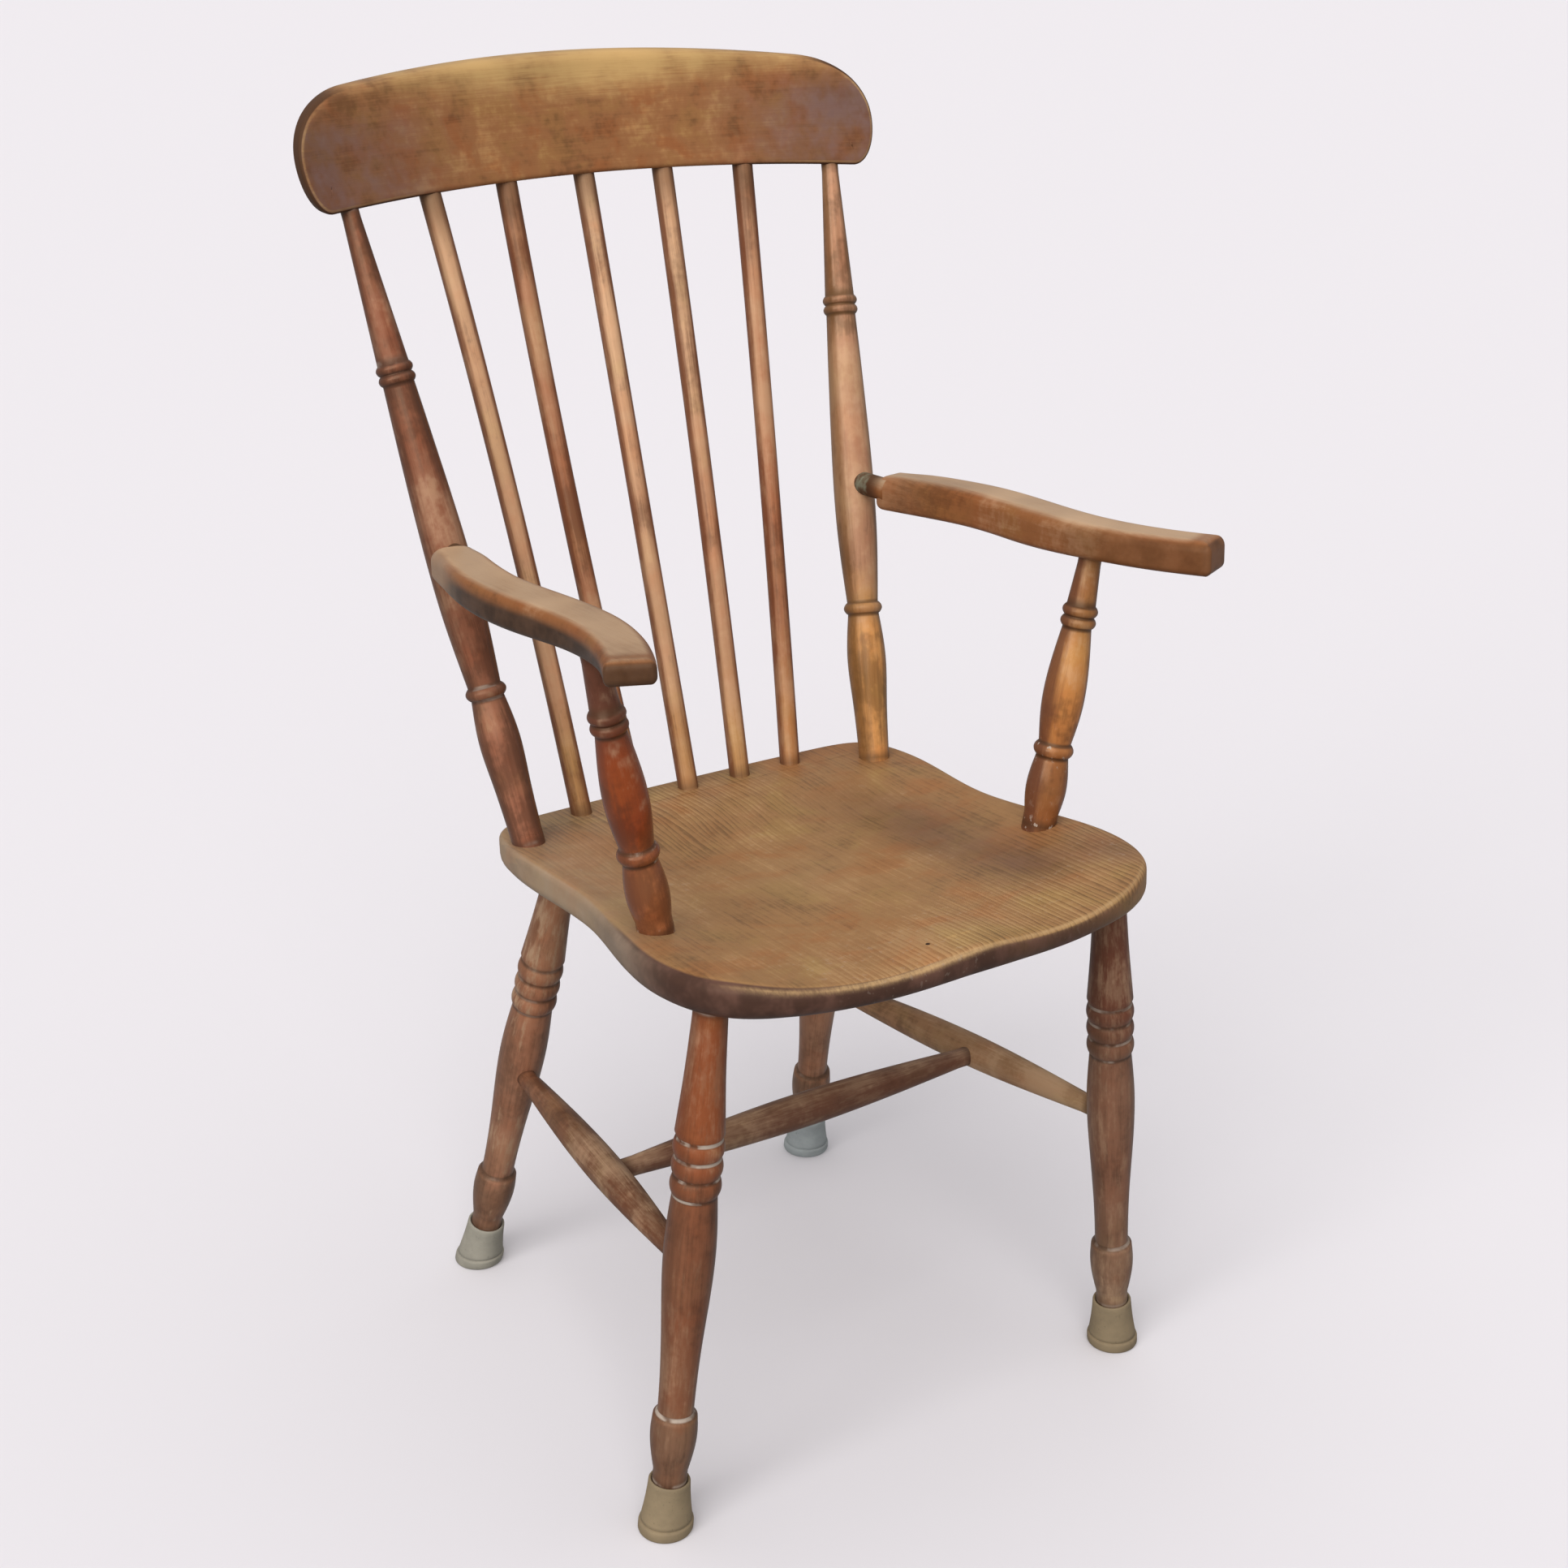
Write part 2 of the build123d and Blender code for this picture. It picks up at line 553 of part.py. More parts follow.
# Back sticks
for i in range(SPINDLE_COUNT):
    place = i - (SPINDLE_COUNT - 1) / 2
    start = on_seat(place * SPINDLE_SEAT_PITCH, spindle_row)
    end = crest_seat(place * SPINDLE_CREST_PITCH)
    frame = axis_frame(start, end)
    length = (end - start).length
    tenon = blind_depth(frame, SPINDLE_RADIUS, SEAT_THICKNESS)
    nodes[f"spindle_{i + 1}"] = make_spindle(frame, length, tenon)
    seat -= socket(frame, SPINDLE_RADIUS, -tenon, RUN_OUT)
    crest -= socket(frame, SPINDLE_RADIUS, length + SPINDLE_CREST_TENON, length - RUN_OUT)

for name, side in SIDES.items():
    # Back post
    start = on_seat(side * post_base[0], post_base[1])
    end = crest_seat(side * post_crest_x)
    post_frame = axis_frame(start, end)
    post_length = (end - start).length
    tenon = blind_depth(post_frame, POST_BASE_RADIUS, SEAT_THICKNESS)
    post = make_post(post_frame, post_length, tenon, POST_RING_HEIGHTS[name], POST_UPPER_RING_DROPS[name])
    seat -= socket(post_frame, POST_BASE_RADIUS, -tenon, RUN_OUT)
    crest -= socket(post_frame, POST_TOP_RADIUS, post_length + POST_CREST_TENON, post_length - RUN_OUT)

    # Arm and its support
    thickness = ARM_THICKNESSES[name]
    arm, tenon_frame, tenon_tip = make_arm(side, thickness, post_frame, post_length)
    nodes[f"back_post_{name}"] = post - socket(tenon_frame, ARM_TENON_RADIUS, tenon_tip, 0)
    start = on_seat(side * support_base[0], support_base[1])
    end = on_seat(side * support_top[0], support_top[1], ARM_HEIGHT - thickness)
    frame = axis_frame(start, end)
    length = (end - start).length
    seat_tenon = blind_depth(frame, SUPPORT_BASE_RADIUS, SEAT_THICKNESS)
    arm_tenon = blind_depth(frame, SUPPORT_TOP_RADIUS, thickness)
    ring = SUPPORT_RING_HEIGHTS[name]
    nodes[f"arm_support_{name}"] = make_support(frame, length, seat_tenon, arm_tenon, thickness, ring)
    seat -= socket(frame, SUPPORT_BASE_RADIUS, -seat_tenon, RUN_OUT)
    nodes[f"arm_{name}"] = arm - socket(frame, SUPPORT_TOP_RADIUS, length + arm_tenon, length - RUN_OUT)

    # Legs, ferrules and discs
    frames = {}
    legs = {}
    for end_name, (head_x, head_y) in leg_heads.items():
        out, back = leg_strides[end_name]
        head = on_seat(side * head_x, head_y)
        foot = Vector(side * (head_x + out), head_y + back)
        frame = axis_frame(foot, head)
        underside = (head - foot).length - SEAT_THICKNESS / frame.z_dir.dot(seat_up)
        tenon = blind_depth(frame, LEG_TENON_RADIUS, SEAT_THICKNESS)
        frames[end_name] = frame
        legs[end_name] = make_leg(frame, underside, tenon, LEG_RING_DROPS[end_name])
        seat -= socket(frame, LEG_TENON_RADIUS, underside + tenon, underside - RUN_OUT)
        nodes[f"{end_name}_ferrule_{name}"] = make_ferrule(frame)
        nodes[f"{end_name}_washer_{name}"] = make_washer(frame)

    # Side stretcher, bored for the cross stretcher
    start = leg_point(frames["front"], STRETCHER_FRONT_HEIGHT)
    end = leg_point(frames["rear"], STRETCHER_REAR_HEIGHT)
    frame = axis_frame(start, end)
    length = (end - start).length
    room = LEG_SWELL_RADIUS + LANDING
    stretcher = make_stretcher(frame, length, CROSS_SETBACK, room, STRETCHER_SWELL_RADIUS)
    front_bore = socket(frame, STRETCHER_END_RADIUS, STRETCHER_STOP, room)
    rear_bore = socket(frame, STRETCHER_END_RADIUS, length - STRETCHER_STOP, length - room)
    nodes[f"front_leg_{name}"] = legs["front"] - front_bore
    nodes[f"rear_leg_{name}"] = legs["rear"] - rear_bore
    cross_start = frame.from_local_coords(Vector(0, 0, CROSS_SETBACK))
    cross_end = Vector(-cross_start.X, cross_start.Y, cross_start.Z)
    cross_frame = axis_frame(cross_start, cross_end)
    cross_length = (cross_end - cross_start).length
    cross_room = STRETCHER_SWELL_RADIUS + LANDING
    bore = socket(cross_frame, STRETCHER_END_RADIUS, STRETCHER_STOP, cross_room)
    nodes[f"side_stretcher_{name}"] = stretcher - bore

nodes["cross_stretcher"] = make_stretcher(
    cross_frame, cross_length, cross_length / 2, cross_room, CROSS_SWELL_RADIUS
)
nodes["seat"] = seat
nodes["crest_rail"] = crest

# The origin is on the floor, under the middle of the chair's box
box = Compound([solid_of(node) for node in nodes.values()]).bounding_box()
centring = Pos(0, -box.center().Y, 0)
os.makedirs("parts", exist_ok=True)
for name, node in nodes.items():
    export_step(centring * solid_of(node), os.path.join("parts", f"{name}.step"))
print("size", box.size, "moved back", -box.center().Y)
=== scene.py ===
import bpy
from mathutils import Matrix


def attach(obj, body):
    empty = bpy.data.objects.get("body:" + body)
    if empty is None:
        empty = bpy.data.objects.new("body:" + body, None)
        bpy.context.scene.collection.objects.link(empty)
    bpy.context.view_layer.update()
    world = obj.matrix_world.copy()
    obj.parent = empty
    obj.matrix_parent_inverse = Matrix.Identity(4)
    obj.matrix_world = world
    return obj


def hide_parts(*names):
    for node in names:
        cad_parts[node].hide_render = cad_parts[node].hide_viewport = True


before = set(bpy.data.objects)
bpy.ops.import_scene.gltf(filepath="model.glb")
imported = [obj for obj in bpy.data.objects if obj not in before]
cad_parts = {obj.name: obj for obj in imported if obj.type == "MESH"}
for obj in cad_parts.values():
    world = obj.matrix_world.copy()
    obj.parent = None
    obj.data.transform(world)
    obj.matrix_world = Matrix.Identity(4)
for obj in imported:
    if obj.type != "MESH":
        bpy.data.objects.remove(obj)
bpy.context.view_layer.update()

from math import cos, pi, radians, sin, tan

import bmesh
import bpy
import numpy as np
from bpy.props import FloatProperty, FloatVectorProperty, IntProperty, PointerProperty
from bpy.types import Operator, Panel, PropertyGroup
from mathutils import Matrix

bl_info = {
    "name": "Windsor Armchair",
    "version": (1, 0, 0),
    "blender": (4, 5, 0),
    "location": "3D View > Sidebar > Chair",
    "description": "Builds a worn stick-back windsor armchair piece by piece",
    "category": "Add Mesh",
}

MM = 0.001
# Points closer than this are one point
SEAM = 1e-6
SIDES = {"left": -1, "right": 1}
# The frame's origin is under the middle of the chair's box, this far from the middle of the seat
SEAT_MIDDLE_Y = -0.0221966
# Where sticks meet the seat top, the arms and the floor: (across, towards the back), right-hand side
POST_FOOT = (0.1666, 0.093)
POST_HEAD_X = 0.2185
SUPPORT_FOOT = (0.1759, -0.1192)
SUPPORT_HEAD = (0.2189, -0.1273)
SPINDLE_ROW = 0.125
LEG_HEADS = {"front": (0.1773, -0.202), "rear": (0.1291, 0.0939)}
LEG_FEET = {"front": (0.2198, -0.1981), "rear": (0.1748, 0.1999)}
# Sticks in millimetres: their straight stretch at a joint and the depth of their tenons
SHOULDER = 9
SEAT_TENON = 18
POST_TENON = 30
SPINDLE_TENON = 28
SUPPORT_TENON = 10
# Turned rings in millimetres: lower ring above the seat and upper rings below the crest rail or the seat
POST_RINGS = {"left": (118.0, 119.0), "right": (122.0, 111.3)}
SUPPORT_RINGS = {"left": 57.2, "right": 55.3}
SUPPORT_RING_DROP = 67.5
LEG_RING_DROPS = {"front": 102.5, "rear": 97.0}
LEG_RING_WIDTH = 15.3
# A ring's (width, groove radius, crown radius) in millimetres
POST_RING = (10.2, 13.1, 16.3)
POST_FINE_RING = (7.9, 12.2, 14.4)
SUPPORT_RING = (11.0, 12.7, 15.8)
SUPPORT_FINE_RING = (8.9, 11.3, 13.9)
# How far each spindle has bent to the right at its middle
SPINDLE_BOWS = (0.004, -0.004, 0.0, 0.0015, 0.0018)
# How red each spindle's wood is, low down and at the top
SPINDLE_REDS = ((0.45, 0.15), (0.95, 0.85), (0.35, 0.0), (0.6, 0.05), (1.0, 0.6))
# The side of most sticks that stays pale, towards the chair's front and nearly the camera, while their other
# sides get kept finish and painted edge shade, and how much they have shrunk out of round
WORN_AND_LIT_SIDE = (-0.3, -0.95, 0.0)
OUT_OF_ROUND = 0.02
# Corners of the seat's outline: (in from the half width, in from the back or the front edge)
SEAT_BACK_CORNER = ((0.065, 0.002), (0.011, 0.017), (0.0, 0.048))
SEAT_FRONT_CORNER = ((0.021, 0.044), (0.094, 0.008))
SEAT_WAIST_Y = -0.039
SEAT_WIDEST_Y = -0.177
# Hollow of the seat: half its width, where it begins and is deepest, its rim and how soft that is
SADDLE_HALF = 0.188
SADDLE_SPAN = (-0.112, 0.008)
SADDLE_RIM = 0.0025
SADDLE_SOFT = 0.0012
# Rise between the legs at the front of the seat: its height, half width and where it begins and ends
POMMEL_RISE = 0.0055
POMMEL_HALF = 0.052
POMMEL_SPAN = (0.11, 0.277)
# Old nail holes in the seat top: (across, towards the back, height, radius)
SEAT_HOLES = [(-0.0267, -0.2451, -0.0082, 0.0022)]
# Darkened and golden patches of the seat top: (strength, middle, reach both ways)
SEAT_STAINS = (
    (0.55, (0.112, -0.06), (0.045, 0.1)),
    (0.45, (0.13, -0.17), (0.042, 0.045)),
    (0.25, (-0.1, 0.02), (0.03, 0.07)),
    (0.4, (0.19, -0.2), (0.03, 0.05)),
    (0.22, (-0.05, -0.225), (0.1, 0.035)),
    (0.2, (0.05, 0.04), (0.09, 0.05)),
)
SEAT_GOLDS = (
    (0.16, (0.08, -0.225), (0.09, 0.04)),
    (0.42, (-0.02, -0.08), (0.09, 0.08)),
)
# Round ends of the crest rail: reach along its under edge and its top edge, height of the tip, fullness
CREST_FOOT = 0.022
CREST_HEAD = 0.052
CREST_TIP = 0.038
CREST_EASE = 0.55
# Rear of an arm: gap to its post, step outwards, reach behind its neck, how far behind its support it bows
# most, and the turns of its ends in degrees
ARM_GAP = 0.019
ARM_STEP = 0.008
ARM_REAR_REACH = {"left": 0.013, "right": 0.0}
ARM_BOW_AT = 0.134
ARM_TURNS = (11.0, 28.0)
# Corners of an arm's outline, and the radius of its tenon in millimetres
ARM_CORNERS = {"left": 0.015, "right": 0.0105}
ARM_NOSE = 0.004
ARM_TENONS = {"left": 7.5, "right": 9.5}
# A ferrule's rim from its tread up and the foot of its neck as (height, inset), its mouth as (drop, radius),
# the radii of its lip and bore, the height of its floor, and the lip's drop and the hollow of the neck
FERRULE_RIM = (
    (0.0, 0.0065), (0.0, 0.0016), (0.0006, 0.0005), (0.0018, 0.0), (0.0070, 0.0), (0.0082, 0.0003),
    (0.0088, 0.0010), (0.0091, 0.0020), (0.0097, 0.0020),
)
FERRULE_NECK = (0.0102, 0.0013)
FERRULE_MOUTH = ((0.0003, 0.0154), (0.0, 0.0147), (0.0004, 0.0140), (0.0030, 0.01325))
FERRULE_LIP = 0.0159
FERRULE_BORE = 0.01325
FERRULE_FLOOR = 0.0105
FERRULE_LIP_DROP = 0.0012
FERRULE_HOLLOW = 0.0005
# The most of an edge's thickness that its roundings take
ROUND_SHARE = 0.92
# Rings of points over a board's face, its margin and each rounded edge
FACE_RINGS = 13
MARGIN_RINGS = 6
EDGE_RINGS = 7
# Millimetres between the points of a straight and of a curved stretch of turning, and points of a ring
STRAIGHT_STEP = 8
CURVE_STEP = 2.6
RING_POINTS = 13
# Waves per metre of the noises in the woods, along the grain or in place
DRIFT_WAVES = (9.0, 9.0, 2.2)
WOBBLE_WAVES = (75.0, 75.0, 6.0)
SCRATCH_WAVES = (150.0, 150.0, 38.0)
CLOUD_WAVES = (10.0, 10.0, 9.0)
PATCH_WAVES = (42.0, 42.0, 36.0)
SPECK_WAVES = (190.0, 190.0, 150.0)
WARMTH_WAVES = (13.0, 17.0, 15.0)
# From the grain's own middle to the heart of the tree
HEART = (0.021, 0.034)
# Redder and yellower tints of a wood
REDDER = (1.0, 0.8, 0.7)
YELLOWER = (1.05, 1.17, 1.04)
# Colour of the light that old varnish throws back
SHEEN = (1.0, 0.74, 0.52)
STEEL = (0.42, 0.42, 0.41)
# Lamps: where they shine from, strength, spread in degrees and colour
LAMPS = {
    "Ceiling": ((0.05, -0.1, 1.0), 1.15, 110.0, (1.0, 0.985, 0.97)),
    "Front softbox": ((-0.75, -0.66, 0.8), 2.1, 60.0, (1.0, 0.99, 0.97)),
    "Window": ((-0.98, -0.2, 0.35), 0.5, 20.0, (1.0, 0.99, 0.98)),
}
SKY_COLOUR = (0.95, 0.97, 1.0)
SKY_STRENGTH = 0.33
FLOOR_REACH = 20.0
# Camera of the photo
CAMERA_PLACE = (-0.9815, -1.5173, 1.2428)
CAMERA_YAW = 33.581
CAMERA_PITCH = 22.870
CAMERA_ROLL = 0.570
CAMERA_LENS = 56.746
CAMERA_SENSOR = 36.0
CAMERA_SHIFT = 0.001


def length(name, value, about):
    """Size property, in metres."""
    return FloatProperty(
        name=name, description=about, default=value, precision=4, subtype="DISTANCE", unit="LENGTH"
    )


def angle(name, degrees, about):
    """Angle property."""
    return FloatProperty(
        name=name, description=about, default=radians(degrees), subtype="ANGLE", unit="ROTATION"
    )


def colour(name, value, about):
    """Colour property."""
    return FloatVectorProperty(
        name=name, description=about, default=value, subtype="COLOR", size=3, min=0.0, max=1.0
    )


class SeatSizes(PropertyGroup):
    """Sizes of the seat board."""

    height: length("Height", 0.45, "Height of the seat top above the floor at its middle")
    tilt: angle("Tilt", 4.0, "How far the seat drops towards the back")
    thickness: length("Thickness", 0.03, "Thickness of the board")
    front: length("Front", 0.277, "From the middle of the seat to its front edge")
    back: length("Back", 0.149, "From the middle of the seat to its back edge")
    front_width: length("Front Width", 0.418, "Greatest width, near the front")
    waist_width: length("Waist Width", 0.378, "Width between the arms")
    back_width: length("Back Width", 0.380, "Width at the back posts")
    back_offset: length("Back Offset", 0.007, "How far the back of the board is cut off centre")
    top_round: length("Top Edge", 0.006, "Rounding of the top edge")
    under_round: length("Under Edge", 0.013, "Rounding of the under edge")
    saddle_depth: length("Saddle Depth", 0.012, "Depth of the carved hollow")


class BackSizes(PropertyGroup):
    """Sizes of the crest rail, the back posts and the spindles."""

    lean: angle("Lean", 18.1, "Lean of the back from upright")
    reach: length("Reach", 0.506, "From the seat to the crest rail along the lean")
    crest_length: length("Crest Length", 0.515, "Length of the crest rail")
    crest_height: length("Crest Height", 0.091, "Height of the crest rail at its middle")
    crest_thickness: length("Crest Thickness", 0.024, "Thickness of the crest rail at its middle")
    crest_end: length("Crest End", 0.016, "Thickness of the crest rail at its ends")
    crest_bend: length("Crest Bend", 0.9, "Radius of the crest rail's bend")
    crest_under: length("Crest Under Arch", 0.007, "Rise of the crest rail's under edge")
    crest_over: length("Crest Top Arch", 0.011, "Rise of the crest rail's top edge")
    crest_round: length("Crest Edge", 0.0045, "Rounding of the crest rail's edges")
    spindles: IntProperty(name="Spindles", description="Number of spindles", default=5, min=1)
    spindle_radius: length("Spindle Radius", 0.0085, "Radius of a spindle at its ends")
    spindle_waist: length("Spindle Waist", 0.0082, "Radius of a spindle at its middle")
    seat_pitch: length("Seat Pitch", 0.0506, "Spacing of the spindles in the seat")
    crest_pitch: length("Crest Pitch", 0.0715, "Spacing of the spindles in the crest rail")
    post_swell: length("Post Swell", 0.0166, "Greatest radius of a back post")


class ArmSizes(PropertyGroup):
    """Sizes of the arms and their supports."""

    height: length("Height", 0.24, "Height of the arms above the seat")
    left_thickness: length("Left Thickness", 0.0225, "Thickness of the left arm")
    right_thickness: length("Right Thickness", 0.0265, "Thickness of the right arm")
    width: length("Width", 0.035, "Width of an arm")
    bow: length("Bow", 0.014, "How far an arm bows outwards")
    overhang: length("Overhang", 0.107, "Reach of an arm in front of its support")
    flare: length("Flare", 0.031, "How far the front of an arm turns outwards")
    edge: length("Edge", 0.0058, "Rounding of an arm's edges")
    belly: length("Belly", 0.0035, "Extra depth of an arm behind its support")
    fullness: length("Fullness", 0.005, "Extra width of an arm on its inner side")
    left_nose: length("Left Nose", 0.005, "How much the front of the left arm is thinned from below")
    support_swell: length("Support Swell", 0.016, "Greatest radius of an arm support")


class LegSizes(PropertyGroup):
    """Sizes of the legs, the stretchers and the ferrules."""

    ring: length("Ring Radius", 0.0189, "Radius of a leg's rings")
    groove: length("Groove Radius", 0.0166, "Radius between a leg's rings")
    swell: length("Swell Radius", 0.0191, "Greatest radius of a leg below its rings")
    neck: length("Neck Radius", 0.0136, "Smallest radius of a leg, above its ankle")
    front_stretcher: length("Front Joint", 0.226, "Height of a side stretcher at its front leg")
    rear_stretcher: length("Rear Joint", 0.208, "Height of a side stretcher at its rear leg")
    cross_setback: length("Cross Setback", 0.152, "From the front leg back to the cross stretcher")
    side_swell: length("Side Swell", 0.0138, "Greatest radius of a side stretcher")
    cross_swell: length("Cross Swell", 0.0142, "Greatest radius of the cross stretcher")
    ferrule: length("Ferrule Height", 0.044, "Height of a ferrule along its leg")
    tread: length("Tread Radius", 0.021, "Radius of a ferrule where it stands")


class ChairColours(PropertyGroup):
    """Colours of the woods, the rubber and the stage."""

    seat: colour("Seat", (0.318, 0.168, 0.07), "Wood of the seat")
    seat_gold: colour("Seat Gold", (0.46, 0.29, 0.14), "Worn front of the seat")
    seat_side: colour("Seat Sides", (0.09, 0.044, 0.032), "Dark finish left on the edges of the seat")
    crest: colour("Crest Rail", (0.295, 0.125, 0.05), "Wood of the crest rail")
    crest_end: colour("Crest Ends", (0.135, 0.076, 0.066), "Greyer ends of the crest rail")
    crest_gold: colour("Crest Gold", (0.51, 0.315, 0.125), "Worn top of the crest rail")
    arm: colour("Arms", (0.25, 0.095, 0.034), "Wood of the arms")
    arm_side: colour("Arm Sides", (0.066, 0.034, 0.02), "Dirty sides and ends of the arms")
    post_left_foot: colour("Left Post Foot", (0.365, 0.142, 0.08), "Paler foot of the left back post")
    post_left: colour("Left Post", (0.25, 0.09, 0.048), "Wood of the left back post")
    post_right: colour("Right Post", (0.41, 0.205, 0.118), "Wood of the right back post")
    post_right_foot: colour("Right Post Foot", (0.62, 0.29, 0.094), "Paler foot of the right back post")
    spindle: colour("Spindles", (0.66, 0.385, 0.22), "Wood of the paler spindles")
    spindle_foot: colour("Spindle Foot", (0.46, 0.225, 0.075), "Golden wood at the foot of a spindle")
    # Kept finish and painted edge shade on the sides of the spindles
    spindle_side: colour("Spindle Side", (0.15, 0.046, 0.02), "Finish kept on the sides of a spindle")
    spindle_red: colour("Red Spindles", (0.37, 0.15, 0.075), "Wood of the redder spindles")
    support_left_foot: colour("Left Support Foot", (0.36, 0.125, 0.048), "Foot of the left arm support")
    support_right_foot: colour("Right Support Foot", (0.27, 0.108, 0.038), "Foot of the right arm support")
    dark_head: colour("Dark Heads", (0.14, 0.048, 0.028), "Dark finish kept on the heads of sticks")
    support_left: colour("Left Support", (0.27, 0.053, 0.0145), "Wood of the left arm support")
    support_right: colour("Right Support", (0.52, 0.22, 0.065), "Wood of the right arm support")
    front_leg_cone: colour("Left Front Cone", (0.26, 0.072, 0.027), "Redder cone of the left front leg")
    front_leg_left: colour("Left Front Leg", (0.215, 0.082, 0.042), "Wood of the left front leg")
    front_leg_right: colour("Right Front Leg", (0.217, 0.104, 0.063), "Wood of the right front leg")
    rear_leg_left: colour("Left Rear Leg", (0.335, 0.155, 0.09), "Wood of the left rear leg")
    rear_leg_right: colour("Right Rear Leg", (0.4, 0.19, 0.108), "Wood of the right rear leg")
    scraped: colour("Scraped Wood", (0.31, 0.145, 0.08), "Scraped upper part of the left rear leg")
    ankle: colour("Ankles", (0.2, 0.112, 0.068), "Greyed wood above the ferrules")
    stretcher_left: colour("Left Stretcher", (0.138, 0.058, 0.03), "Wood of the left stretcher")
    stretcher_right: colour("Right Stretcher", (0.28, 0.155, 0.08), "Wood of the right stretcher")
    cross: colour("Cross Stretcher", (0.145, 0.065, 0.041), "Wood of the cross stretcher")
    worn: colour("Worn Wood", (0.47, 0.31, 0.19), "Bare wood where hands have worn the finish")
    grime: colour("Grime", (0.075, 0.036, 0.024), "Darkened finish on sides and ends")
    dust: colour("Dust", (0.34, 0.26, 0.187), "Dusty, greyed finish")
    dirt: colour("Groove Dirt", (0.42, 0.34, 0.28), "Pale dust and wax in turned grooves")
    glue: colour("Old Glue", (0.2, 0.2, 0.14), "Old glue squeezed out of a joint")
    rubber: colour("Rubber", (0.245, 0.18, 0.104), "Ferrules")
    rubber_grey: colour("Grey Rubber", (0.29, 0.265, 0.215), "Rear ferrules")
    rubber_blue: colour("Blue-Grey Rubber", (0.3, 0.32, 0.32), "Right rear ferrule")
    floor: colour("Floor", (0.765, 0.735, 0.765), "Floor under the chair")


def given(name):
    """The scene's property group of that name."""
    return getattr(bpy.context.scene, name)


# Node trees


class Term:
    """A node socket in plain arithmetic."""

    def __init__(self, graph, socket):
        self.graph = graph
        self.socket = socket

    def math(self, operation, *values):
        """A maths node on these values."""
        return self.graph.node("ShaderNodeMath", {"operation": operation}, dict(enumerate(values)))

    def __add__(self, other):
        return self.math("ADD", self, other)

    def __radd__(self, other):
        return self.math("ADD", other, self)

    def __sub__(self, other):
        return self.math("SUBTRACT", self, other)

    def __rsub__(self, other):
        return self.math("SUBTRACT", other, self)

    def __mul__(self, other):
        return self.math("MULTIPLY", self, other)

    def __rmul__(self, other):
        return self.math("MULTIPLY", other, self)

    def __truediv__(self, other):
        return self.math("DIVIDE", self, other)

    def __rtruediv__(self, other):
        return self.math("DIVIDE", other, self)

    def __pow__(self, other):
        return self.math("POWER", self, other)

    def step(self, low, high):
        """0 below low, 1 above high and smooth between them."""
        return self.graph.node(
            "ShaderNodeMapRange",
            {"interpolation_type": "SMOOTHSTEP"},
            {"Value": self, "From Min": low, "From Max": high},
        )

    def parts(self):
        """The three numbers of a vector."""
        split = self.graph.node("ShaderNodeSeparateXYZ", {}, {0: self}).socket.node
        return [Term(self.graph, socket) for socket in split.outputs]


class Graph:
    """A node tree to which nodes are added."""

    def __init__(self, tree):
        self.tree = tree

    def node(self, kind, settings, inputs, output=0):
        """Adds a node, sets it up, fills its sockets and returns one of its outputs."""
        node = self.tree.nodes.new(kind)
        for key, value in settings.items():
            setattr(node, key, value)
        for key, value in inputs.items():
            socket = node.inputs[key]
            if isinstance(value, Term):
                self.tree.links.new(value.socket, socket)
            elif socket.type == "RGBA":
                socket.default_value = (*value, 1.0)
            else:
                socket.default_value = value
        return Term(self, node.outputs[output]) if node.outputs else None

    def vector(self, operation, *values, output=0):
        """A vector maths node on these values."""
        return self.node("ShaderNodeVectorMath", {"operation": operation}, dict(enumerate(values)), output)

    def scaled(self, vector, factor):
        """A vector times a number."""
        return self.node("ShaderNodeVectorMath", {"operation": "SCALE"}, {0: vector, "Scale": factor})

    def combine(self, x, y, z):
        """A vector of three numbers."""
        return self.node("ShaderNodeCombineXYZ", {}, {0: x, 1: y, 2: z})

    def mix(self, factor, first, second, blend="MIX"):
        """Two colours mixed."""
        settings = {"data_type": "RGBA", "blend_type": blend}
        return self.node("ShaderNodeMix", settings, {0: factor, 6: first, 7: second}, 2)

    def noise(self, vector, stretch, detail=2.0, roughness=0.5, distortion=0.0):
        """Noise between about 0 and 1, with its own number of waves per metre along each axis."""
        inputs = {
            "Vector": self.vector("MULTIPLY", vector, stretch), "Scale": 1.0, "Detail": detail,
            "Roughness": roughness, "Distortion": distortion,
        }
        return self.node("ShaderNodeTexNoise", {}, inputs)

    def attribute(self, name, output="Fac"):
        """One of the piece's own attributes."""
        return self.node("ShaderNodeAttribute", {"attribute_name": name}, {}, output)


def shade(colour, factor):
    """A colour made darker or lighter."""
    return tuple(min(1.0, channel * factor) for channel in colour)


def blend(first, second, share):
    """A colour part of the way from one to another."""
    return tuple(a + (b - a) * share for a, b in zip(first, second))


def new_material(name):
    """An empty material, its graph and its surface shader."""
    material = bpy.data.materials.new(name)
    material.use_nodes = True
    material.node_tree.nodes.clear()
    graph = Graph(material.node_tree)
    surface = graph.node("ShaderNodeBsdfPrincipled", {}, {}).socket.node
    graph.node("ShaderNodeOutputMaterial", {}, {"Surface": Term(graph, surface.outputs[0])})
    return material, graph, surface


def dress(graph, surface, base, rough, height, strength, depth):
    """Feeds a surface its colour, its roughness and its relief."""
    relief = graph.node("ShaderNodeBump", {}, {"Strength": strength, "Distance": depth, "Height": height})
    for name, term in {"Base Color": base, "Roughness": rough, "Normal": relief}.items():
        graph.tree.links.new(term.socket, surface.inputs[name])


